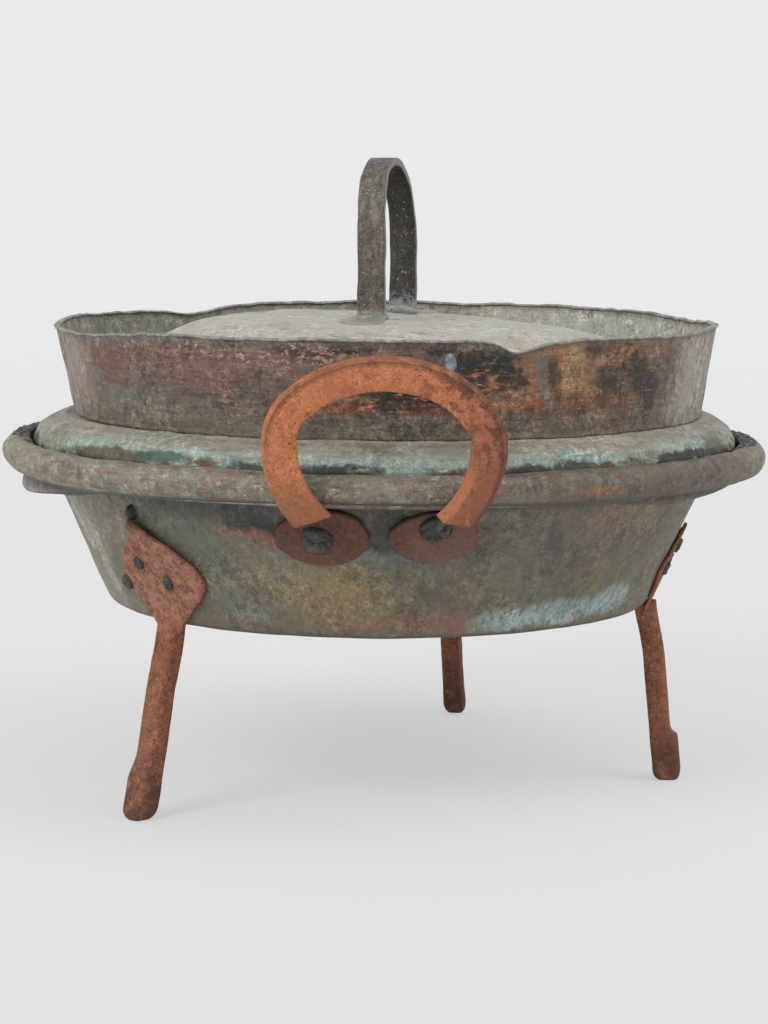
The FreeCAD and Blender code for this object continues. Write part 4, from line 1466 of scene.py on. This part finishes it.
late_soot = [
    (19.5, 244, 10, 7, 0.2, 0.95, "#292b27"), (21.5, 232.5, 9, 2.6, 0.1, 0.9, "#302c26"),
    (13, 226.5, 8, 1.6, 0.1, 0.8, "#2a2724"), (27.8, 236, 3.5, 9, 0.2, 0.75, "#3a3930"),
    (36, 247, 7, 4, 0.0, 0.7, "#43392c"), (40, 232, 8, 6, 0.3, 0.7, "#33322b"),
    (46.5, 235, 9, 9, 0.3, 0.85, "#2f312c"), (50.5, 225, 7, 12, 0.0, 0.85, "#383834"),
    (56, 238, 6, 14, 0.0, 0.6, "#4d4b47"), (33, 219, 34, 4, 0.0, 0.5, "#5a3a2e"),
    (-57, 240, 16, 8, 0.3, 0.7, "#71483b"), (-45, 227, 14, 8, 0.0, 0.6, "#5d5654"),
    (-33, 222, 12, 5, 0.0, 0.5, "#4e4a47"), (-52, 218, 16, 5, 0.0, 0.6, "#6d6c62"),
    (-66, 248, 12, 4, 0.0, 0.5, "#4f514a"), (-26, 250, 18, 2.4, 0.0, 0.6, "#3b3433"),
]
print(len(collar_stains) + len(soot_blots) + len(late_soot), "stains on the collar")

# %% [markdown]
# ## Fire-browned copper of the collar
#
# The outside builds up in the order in which it happened: oxide, drawn scratches, soot, flaked
# copper, late soot and a pale drip. Over them come pale grey streaks on the two ends, a painted
# reflection of the bright room. The lip's grey wear must follow the dented lip, so it can't be
# placed by height: it reads a number stored on every point of the mesh, which says how far below
# the lip the point was made.

# %% Finish of the collar
def collar_inside(f, cloud):
    """Ash and verdigris inside the band, paler on the right."""
    left_end = f.turn.step(-20, -100) * f.turn.step(-178, -140)
    return f.layers(
        tone("#85867a"),
        (cloud.step(0.48, 0.60) * 0.6, tone("#9a9a8f")),
        (f.grain(28, 4, 0.6, seed=8).step(0.50, 0.62) * 0.6, tone("#8f8869")),
        (cloud.step(0.45, 0.33) * 0.5, tone("#6c6e63")),
        (f.z.step(233, 227) * left_end * 0.6, tone("#9b9674")),
        (f.turn.step(20, 66) * f.turn.step(178, 140) * 0.8, tone("#bdbcb3")),
    )


def flaked_copper(f):
    """Masks of the pink and the orange places where soot has flaked away."""
    pink = f.patch(-14, 246, 36, 8, 0.7, 8) + f.patch(-31, 247, 14, 5, 0.7, 6, seed=1)
    orange = f.patch(-2, 229, 46, 12, 0.5, 9, seed=2) + f.patch(18, 232, 30, 14, 0.5, 9, seed=3)
    return (pink * f.grain(2.4, 4, 0.7, (1.6, 1.6, 0.8), seed=5).step(0.52, 0.60),
            orange * f.grain(3.0, 4, 0.7, (2.4, 2.4, 0.6), seed=6).step(0.55, 0.62))


def drip(f, fine):
    """Mask of the drip: a curved line that widens towards the lip."""
    line = 25.8 + (f.z - 243.0) * (f.z - 243.0) * 0.0042
    flare = 1.0 + (f.z - 240.0).math("MAXIMUM", 0.0) * 0.14
    away = (f.turn - line + (fine - 0.5) * 1.6).math("ABSOLUTE") / flare
    return away.step(1.15, 0.65) * f.z.step(217, 219) * f.z.step(248, 244)


def collar_finish():
    f = Finish("collar browned")
    cloud = f.grain(17, 6, 0.68)
    fine = f.grain(3.6, 6, 0.72, seed=1)
    drawn = f.grain(3.0, 5, 0.7, (7, 7, 0.7), seed=2)
    upright = f.grain(2.2, 4, 0.7, (1, 1, 9), seed=3)
    speck = f.grain(1.2, 3, 0.6, seed=4)
    outside = f.layers(
        tone("#6e5c51"),
        (cloud.step(0.50, 0.60) * 0.8, tone("#67645c")),
        (cloud.step(0.48, 0.38) * 0.7, tone("#7d5547")),
    )
    outside = stains(f, outside, collar_stains, 0.8, 9.0)
    outside = f.layers(
        outside,
        (drawn.step(0.51, 0.62) * 0.45, tone("#8f7a6b")),
        (drawn.step(0.47, 0.36) * 0.5, tone("#463d39")),
    )
    outside = stains(f, outside, soot_blots, 0.75, 4.0)
    pink, orange = flaked_copper(f)
    right = f.turn.step(12, 26) * f.turn.step(62, 46)
    # Painted reflection: pale grey streaks on the two ends of the band, lightened where they would
    # mirror the bright room. Their masks also give upright wrinkles to the relief.
    painted_reflection = (f.turn - 68 + (cloud - 0.5) * 18).math("ABSOLUTE").step(15, 3)
    painted_reflection_left = (f.turn + 74 + (cloud - 0.5) * 12).math("ABSOLUTE").step(15, 2)
    outside = f.layers(
        outside,
        (pink * 0.9, tone("#b88f7e")),
        (orange * 0.9, tone("#ad6c4b")),
        (right * fine.step(0.49, 0.60) * 0.5, tone("#a5764e")),
        (right * cloud.step(0.47, 0.36) * 0.6, tone("#41382d")),
    )
    outside = stains(f, outside, late_soot, 1.1, 5.0)
    outside = f.layers(
        outside,
        (f.z.step(trough_z + 13, trough_z + 5) * cloud.step(0.42, 0.54) * 0.6, tone("#68655a")),
        (f.z.step(trough_z + 5, trough_z) * 0.85, tone("#8b8676")),
        (drip(f, fine) * 0.9, tone("#6f655d")),
        (f.patch(10.4, 242.2, 2.8, 4.6, 0.15, 2.5, 0.15, 0.25), tone("#84949a")),
        (painted_reflection * upright.step(0.28, 0.60) * 0.9, tone("#a8a29a")),
        (painted_reflection_left * upright.step(0.32, 0.64) * 0.6, tone("#a3978c")),
        (f.scratches(7, (6, 6, 0.5), 0.008, 7) * 0.35, tone("#b49c8e")),
    )
    colour = f.mix(f.outward.step(-0.25, 0.25), collar_inside(f, cloud), outside)
    below = f.painted("below_lip") + (cloud - 0.5) * 5 + (fine - 0.5) * 3
    lip_side = 0.6 + f.turn.step(-8, -60) * 0.25 + f.turn.step(40, 60) * 0.1
    colour = f.layers(
        colour,
        (below.step(7.0, 2.2) * lip_side, tone("#706d66")),
        (below.step(3.2, 0.8) * 0.7, tone("#8f8c83")),
    )
    colour, relief = f.weather(colour, 0.40)
    colour = f.layers(
        colour,
        (speck.step(0.62, 0.70) * 0.5, tone("#2b2826")),
        (f.flecks(2.0, 0.05, 9) * 0.55, tone("#b7b0a4")),
    )
    rough = 0.50 + (cloud - 0.5) * 0.5 + (fine - 0.5) * 0.35
    height = (cloud - 0.5) * 1.0 + relief * 0.8 + (speck - 0.5) * 0.14 + (drawn - 0.5) * 0.2
    height = height + (painted_reflection + painted_reflection_left) * (upright - 0.5) * 0.7
    return f.done(colour, rough, 0.28, height)


collar_copper = collar_finish()

# %% [markdown]
# ## Rust
#
# The handles and legs were left bare and have rusted through and through: a matt orange with dark
# pits and, where hands and hooks rubbed, a brown skin. One function makes the rust of both, and
# each then adds what is its own. The skin along the outer edge of the horseshoe follows the bar
# by two more numbers stored on the mesh, `lap` for the ridge and `skin` for the worn face.

# %% Rust
def rust_finish(name, bright, deep, dark, darkness):
    """Start a rusty finish; gives it with its colour and relief so far."""
    f = Finish(name)
    cloud = f.grain(15, 5, 0.65)
    pits = f.flecks(1.9, 0.16, 3)
    scab = f.grain(7, 6, 0.75, seed=4)
    colour = f.layers(
        tone(bright),
        (cloud.step(0.47, 0.64) * 0.8, tone(deep)),
        (scab.step(0.52, 0.63) * darkness, tone(dark)),
    )
    colour, relief = f.weather(colour, 0.14 + darkness * 0.4, (4.0, 1.7, 0.9))
    skin = f.grain(1.3, 4, 0.75, seed=6)
    colour = f.layers(
        colour,
        (skin.step(0.51, 0.64) * 0.5, tone(dark)),
        (skin.step(0.47, 0.36) * 0.3, tone("#c8865e")),
        (pits * 0.85, tone("#4a3226")),
        (f.flecks(1.2, 0.08, 5) * 0.6, tone("#cfae8d")),
    )
    return f, colour, (scab - 0.5) * 0.8 + relief * 1.8 - pits * 0.5 + (skin - 0.5) * 1.1


def handle_finish():
    f, colour, height = rust_finish("handle rust", "#c27a50", "#b26a43", "#86503a", 0.26)
    lap = f.painted("lap")
    skin = f.painted("skin") * f.grain(8, 5, 0.7, (2, 1, 1), seed=11).step(0.34, 0.54)
    crown = f.x.step(4, 34) * f.z.step(206, 232) + f.x.step(34, 52) * f.z.step(186, 200)
    crown = crown * f.grain(4.5, 5, 0.75, seed=7).step(0.46, 0.56)
    # Painted shade and light: on the right arm, faces turned to the right are darkened, and the
    # inner edge of the twisted end, turned to the left, is lightened.
    shade_on_right_faces = f.right.step(0.15, 0.5) * f.back.step(-0.3, -0.6) * f.x.step(12, 30)
    light_on_twisted_edge = f.right.step(-0.2, -0.5) * f.x.step(24, 36) * f.z.step(206, 186)
    on_wall = f.radius.step(205, 199)
    palm = f.layers(
        tone("#6b4b3f"),
        (f.grain(7, 5, 0.7, seed=8).step(0.48, 0.60) * 0.8, tone("#4f433e")),
        (f.grain(2.6, 5, 0.7, seed=9).step(0.51, 0.62) * 0.7, tone("#8a5a44")),
        (f.grain(1.6, 5, 0.7, seed=10).step(0.50, 0.38) * 0.6, tone("#41302a")),
        (f.x.step(4, 22) * 0.32, tone("#94786a")),
    )
    colour = f.layers(
        colour,
        (f.z.step(194, 176) * f.x.step(0, -20) * 0.7, tone("#8a5b41")),
        (f.z.step(196, 160) * f.x.step(-20, 0) * 0.4, tone("#98603f")),
        (f.x.step(22, 56) * 0.58, tone("#8a5b43")),
        (crown * 0.8, tone("#644030")),
        (shade_on_right_faces * 0.35, tone("#7d4f38")),
        (light_on_twisted_edge * 0.75, tone("#b8744e")),
        (skin * 0.7, tone("#74503d")),
        (lap * 0.65, tone("#4f3224")),
        (on_wall * 0.92, palm),
    )
    return f.done(colour, 0.92, 0.0, height - lap * 0.5)


def leg_finish():
    f, colour, height = rust_finish("leg rust", "#9c654a", "#8a553c", "#50362a", 0.62)
    golden = f.grain(5, 5, 0.7, seed=7).step(0.60, 0.70) * f.z.step(90, 70)
    leaf = f.z.step(floor_of_pan - 6, floor_of_pan + 6) * f.turn.step(-20, -40)
    colour = f.layers(
        colour,
        (leaf * f.grain(6, 6, 0.75, seed=9).step(0.42, 0.60) * 0.7, tone("#c2907a")),
        (leaf * f.grain(3, 5, 0.75, seed=10).step(0.52, 0.62) * 0.5, tone("#5e4032")),
        (golden * 0.7, tone("#b08b54")),
        (f.z.step(38, 12) * f.grain(9, 5, 0.7, seed=8).step(0.34, 0.54) * 0.8, tone("#5c4233")),
        (f.z.step(floor_of_pan + 48, floor_of_pan + 58) * 0.6, tone("#4b4038")),
    )
    return f.done(colour, 0.92, 0.0, height)


handle_rust = handle_finish()
leg_rust = leg_finish()

# %% [markdown]
# ## Dark iron
#
# The rivets and the strap stayed under soot and grease and are nearly black, with grey showing on
# the high spots. The strap has more to tell: its outside is drawn in lines along the bar and was
# rubbed to copper colour by the hands that lifted it, and pale dust and blue-grey dirt lie round
# its feet. Its inside, under the arch, is darkened as painted shade, and its side faces are
# lightened as a painted highlight. Those coats go over the plain dark iron.

# %% Dark iron
def strap_coats(f, colour, cloud, fine):
    """What the strap has over its dark iron."""
    facing = f.right * (f.x - 2.0) + f.back * f.y + f.up * (f.z - 296.0)    # less than 0 inside
    drawn = f.grain(3.0, 4, 0.7, (1, 1, 6), seed=5)
    rubbed = f.patch(-8, 288, 10, 26, 0.8, 6) + f.patch(2, 268, 6, 5, 0.6, 4, seed=1)
    rubbed = rubbed * f.back.step(0, -0.4) * (
        f.grain(2.6, 5, 0.75, (1, 1, 2.2), seed=4).step(0.50, 0.60))
    low = f.z + (cloud - 0.5) * 16 - dome_top
    return f.layers(
        colour,
        (drawn.step(0.50, 0.62) * 0.45, tone("#8d8377")),
        (drawn.step(0.46, 0.36) * 0.5, tone("#37332f")),
        # Painted highlight: faces turned to either side, the edges of the strap, are lightened.
        (f.right.math("ABSOLUTE").step(0.75, 0.9) * 0.6, tone("#8f8980")),
        (rubbed * 0.8, tone("#a07a66")),
        # Painted shade: faces turned towards the middle of the arch, under its top and inside its
        # legs, are darkened.
        (facing.step(0, -8) * 0.75, tone("#2d2c2b")),
        (low.step(7.5, 3.0) * 0.8, tone("#a19d90")),
        (low.step(15, 7) * f.y.step(0, 12) * fine.step(0.48, 0.56) * 0.7, tone("#96a1a7")),
        (f.flecks(1.2, 0.2, 6) * 0.7, tone("#b9bab3")),
        (f.flecks(1.7, 0.2, 7) * 0.6, tone("#2a2826")),
    )


def dark_finish(name, base, light, copper, metal, shine, coats=None):
    """Sooty iron; coats may add to its colour."""
    f = Finish(name)
    cloud = f.grain(8, 5, 0.7)
    fine = f.grain(2.0, 5, 0.75, seed=1)
    colour = f.layers(
        tone(base),
        (cloud.step(0.50, 0.64) * 0.8, tone(light)),
        (fine.step(0.55, 0.66) * 0.6, tone(light)),
        (fine.step(0.45, 0.35) * 0.6, tone("#2b2a28")),
        (f.grain(11, 5, 0.7, seed=2).step(0.57, 0.68) * copper, tone("#8a6349")),
        (f.flecks(1.5, 0.05, 3) * 0.7, tone("#a9aaa2")),
    )
    if coats:
        colour = coats(f, colour, cloud, fine)
    height = (cloud - 0.5) * 0.8 + (fine - 0.5) * 0.5
    return f.done(colour, shine + (fine - 0.5) * 0.3, metal, height)


rivet_iron = dark_finish("rivet iron", "#434341", "#605f5b", 0.25, 0.3, 0.55)
strap_iron = dark_finish("strap iron", "#5a554e", "#7c756b", 0.35, 0.40, 0.48, strap_coats)

# %% [markdown]
# ## Building the pieces
#
# Shapes and finishes are ready, so each piece is now made once. A piece stands for its solid,
# which is hidden, and rides with the pan or with the lid: when the lid lifts, its collar and its
# strap go with it. The strap leans a little to the left towards its top.

# %% Build the pieces
make_pan(pan_copper)
make_lid_plate(lid_copper)
make_collar(collar_copper)
make_handle("horseshoe_front", "front_handle", handle_rust, 3, False)
make_handle("horseshoe_rear", "rear_handle", handle_rust, 8, True)
for number, leg_name in enumerate(legs):
    make_leg(leg_name, leg_rust, 11 + number * 3)
points, faces = joined([make_strap(), make_strap_foot(-1, 4), make_strap_foot(1, 6)])
points[:, 0] += 1.2 - 2.0 * smooth(points[:, 2], strap_top - 50, strap_top)
mesh_piece("strap", settle(points), faces, strap_iron, "lid", ["lid_handle"])

# %% [markdown]
# ## Rivets of the handles and legs
#
# The big heads of the handles are folded over by the hammer, the small ones of the legs are flat.
# Each is set square on the wall and sunk a little into its plate. The three heads of a leg are one
# piece, because their solids are one. The left leg has a fourth head on the wall over its leaf.

# %% Rivets of the handles and legs
head_sunk = 0.3                                     # a head stands this much off a leaf's middle
leaf_rivets = {"leg_left": [(-3.0, 36.1), (15.0, 26.8), (-22.0, 22.7)],
               "leg_right": [(0, 34), (19, 24), (-19, 24)],
               "leg_back": [(0, 34), (19, 24), (-19, 24)]}

for side_name, flip in (("front", 1), ("rear", -1)):
    for hand, along, down, size in (("left", -30.2, 15.8, 7.4), ("right", 27.8, 9.6, 7.6)):
        points, faces = wall_rivet(front_azimuth, along, ledge_z - down, palm_thick + 0.2,
                                   size, 3.8, along + flip, 1.1, 2.2)
        points = points if flip > 0 else half_turn(points)
        mesh_piece("rivet_%s_%s" % (side_name, hand), pan_dents(points), faces, rivet_iron, "pan",
                   ["%s_rivet_%s" % (side_name, hand)])

for leg_name, places in leaf_rivets.items():
    leg = legs[leg_name]
    heads = []
    for number, (along, up_wall) in enumerate(places):
        height = floor_of_pan + up_wall
        stand = leaf_springs[leg_name](along, height) + leg.leaf_thick + head_sunk
        heads.append(wall_rivet(leg.azimuth, along, height, stand,
                                3.9, 2.2, number * 3.3 + leg.azimuth, 0.85, 0.8))
    if leg_name == "leg_left":
        heads.append(wall_rivet(leg.azimuth, 0.8, floor_of_pan + 62.0, 0.6,
                                4.2, 3.4, 5.1, 0.75, 1.0))
    points, faces = joined(heads)
    mesh_piece(leg_name + "_heads", pan_dents(points), faces, rivet_iron, "pan",
               [leg_name + "_rivets"])

# %% [markdown]
# ## Rivets of the lid
#
# Three small heads close the lap of the collar. They must sit on the knocked and dented band, so
# their places go through the same dents first. One low head holds each foot of the strap.

# %% Rivets of the lid
seam_low, seam_high = corners("collar_seam_rivets")
seam_turn = float(turn_of(np.array([(seam_low + seam_high) / 2]))[0])
seam_end = 3.0                                      # from the box to the middle of a rivet
heads = []
for share in (0.1, 0.5, 0.9):
    height = seam_low[2] + seam_end + (seam_high[2] - seam_low[2] - 2 * seam_end) * share
    place, face = collar_point(seam_turn, height)
    points, faces = rivet_head(3.1, 1.6, height, 1.0, 0.5)
    place = collar_dents(np.array([place]))[0]
    heads.append((stood(points, place + face * 0.2, upright, face), faces))
points, faces = joined(heads)
mesh_piece("seam_heads", points, faces, rivet_iron, "lid",
           ["collar_seam_rivets"])

for name, end in (("lid_handle_rivet_front", -1), ("lid_handle_rivet_back", 1)):
    low, high = corners(name)
    spot = (low + high) / 2
    spot[0] += 2.0
    points, faces = rivet_head(4.6, 2.4, 3.0 + end, 1.0, 0.8)
    points[:, :2] += spot[:2]
    points[:, 2] += dome_height_at(spot[0], spot[1]) + 1.9
    mesh_piece(name + "_worn", settle(points), faces, strap_iron, "lid", [name])

# %% [markdown]
# ## Crust in the rim
#
# Burnt fat and soot have caked in the groove between the lid's edge and the rolled rim. It shows
# at the two ends, where one looks along the groove. It clings to the rim, so it rides with the pan
# and leaves the lid free to lift. A bar that is hammered very hard makes the crumbs. The iron wire
# inside the roll can't be seen, but it keeps its solid and gets an iron finish too.

# %% Rim crust and wire
crust_radius, crust_lift = 200.4, 5.4               # of its middle line, over the wire
crust_inside = 195.2                                # it comes no nearer to the lid than this


def crust_finish():
    f = Finish("burnt crust")
    cells = f.grain(2.4, 5, 0.8)
    colour = f.layers(
        tone("#4b4a47"),
        (cells.step(0.52, 0.62), tone("#8b8b86")),
        (cells.step(0.46, 0.36), tone("#1d1c1a")),
        (f.flecks(2.0, 0.3, 1), tone("#b9b8b2")),
        (f.patch(-77, wire_z + 8, 4, 12, 0.6, 2) * 0.7, tone("#b07a63")),
    )
    return f.done(colour, 0.85, 0.0, (cells - 0.5) * 1.6)


def make_crust(name, first, last, seed, material):
    """A ragged strip in the groove, from one direction round the oven to another."""
    turns = np.linspace(first, last, 90)
    angle = np.radians(turns - 90)
    outs = np.stack([np.cos(angle), np.sin(angle), 0 * angle], axis=1)
    path = outs * crust_radius
    path[:, 2] = wire_z + crust_lift + np.array([rim_shape(turn)[0] for turn in turns])
    share = np.linspace(-1, 1, len(turns))
    taper = np.sqrt(np.clip(1 - share ** 4, 0.05, 1))
    outlines = bar_outline(9.6, 4.4, [(1.2, 1.2)] * 4)[None] * taper[:, None, None]
    points, faces = closed_bar(carried(path, outs, [upright] * len(turns), outlines))
    points = hammered(points, 1.0, seed, 3.2)
    reach, out = spokes(points)
    points[:, :2] = out * np.maximum(reach, crust_inside)[:, None]
    mesh_piece(name, points, faces, material, "pan")


crust = crust_finish()
make_crust("crust_left", -112, -68, 81, crust)
make_crust("crust_right", 66, 112, 84, crust)
wire_iron = dark_finish("wire iron", "#4a3d34", "#6a5546", 0.3, 0.3, 0.7)
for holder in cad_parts["rim_wire"].material_slots:
    holder.material = wire_iron

# %% [markdown]
# ## Stage and light
#
# The cloth is a plain curved sheet. Seen straight on it is mixed with a faint glow of its own, so
# that the background is pale while the lamps stay low enough for the old metal's own colours.
# Brighter lamps would whiten the cloth as well, but they would bleach the copper too.

# %% Floor and backdrop
glow_share = 0.64
cloth_half_width = 6.0                              # metres


def cloth_finish():
    f = Finish("pale cloth")
    weave = f.node("ShaderNodeBump", {},
                   {"Height": f.grain(2.2, 3, 0.6) * 0.3, "Distance": 1 / metre}, "Normal")
    plain = f.node("ShaderNodeBsdfPrincipled", {},
                   {"Base Color": tone("#e3e3e2"), "Roughness": 0.95, "Normal": weave}, "BSDF")
    pale = f.layers(
        tone("#d6d6d5"),
        (f.y.step(-700, 0), tone("#e3e3e2")),
        (f.y.step(200, 2600), tone("#f1f1f1")),
    )
    glow = f.node("ShaderNodeEmission", {}, {"Color": pale, "Strength": 1.0})
    path = f.node("ShaderNodeLightPath", {}, {}, None)
    seen = Field(f, path.outputs["Is Camera Ray"]) + Field(f, path.outputs["Is Glossy Ray"])
    seen = seen.math("MINIMUM", 1.0)
    return f.closed(f.node("ShaderNodeMixShader", {}, {0: seen * glow_share, 1: plain, 2: glow}))


def make_stage():
    profile = rounded([(-3.5, 0.0, 0), (3.2, 0.0, 1.6, 12), (3.2, 4.5, 0, 12)], arc_steps=24)
    points = [(side * cloth_half_width, y, z) for y, z in profile for side in (-1, 1)]
    mesh = bpy.data.meshes.new("cloth")
    mesh.from_pydata(points, [], grid_faces(len(profile), 2))
    mesh.polygons.foreach_set("use_smooth", [True] * len(mesh.polygons))
    cloth = bpy.data.objects.new("cloth", mesh)
    bpy.context.scene.collection.objects.link(cloth)
    cloth.data.materials.append(cloth_finish())


make_stage()

# %% [markdown]
# ## Sky and lamps
#
# The sky gives most of the light. A large lamp at the left front stands for a window and draws the
# forms, and a weaker one at the right keeps the shaded side open.

# %% Sky and lamps
world = bpy.data.worlds.new("soft room")
world.use_nodes = True
background = world.node_tree.nodes["Background"]
background.inputs["Color"].default_value = (0.97, 0.98, 1.0, 1.0)
background.inputs["Strength"].default_value = 0.74
bpy.context.scene.world = world


def soft_lamp(name, place, target, size, power):
    """A round area lamp of a size in metres and a power in watts, aimed at a target."""
    lamp_data = bpy.data.lights.new(name, "AREA")
    lamp_data.shape = "DISK"
    lamp_data.size = size
    lamp_data.energy = power
    lamp = bpy.data.objects.new(name, lamp_data)
    lamp.location = place
    direction = Vector(target) - Vector(place)
    lamp.rotation_mode = "QUATERNION"
    lamp.rotation_quaternion = direction.to_track_quat("-Z", "Y")
    bpy.context.scene.collection.objects.link(lamp)


soft_lamp("window", (-1.9, -2.1, 2.2), (0, 0, 0.15), 1.6, 48)
soft_lamp("sky light", (1.7, -0.7, 2.4), (0, 0, 0.2), 1.8, 24)
print("lamps:", ", ".join(lamp.name for lamp in bpy.data.lights))
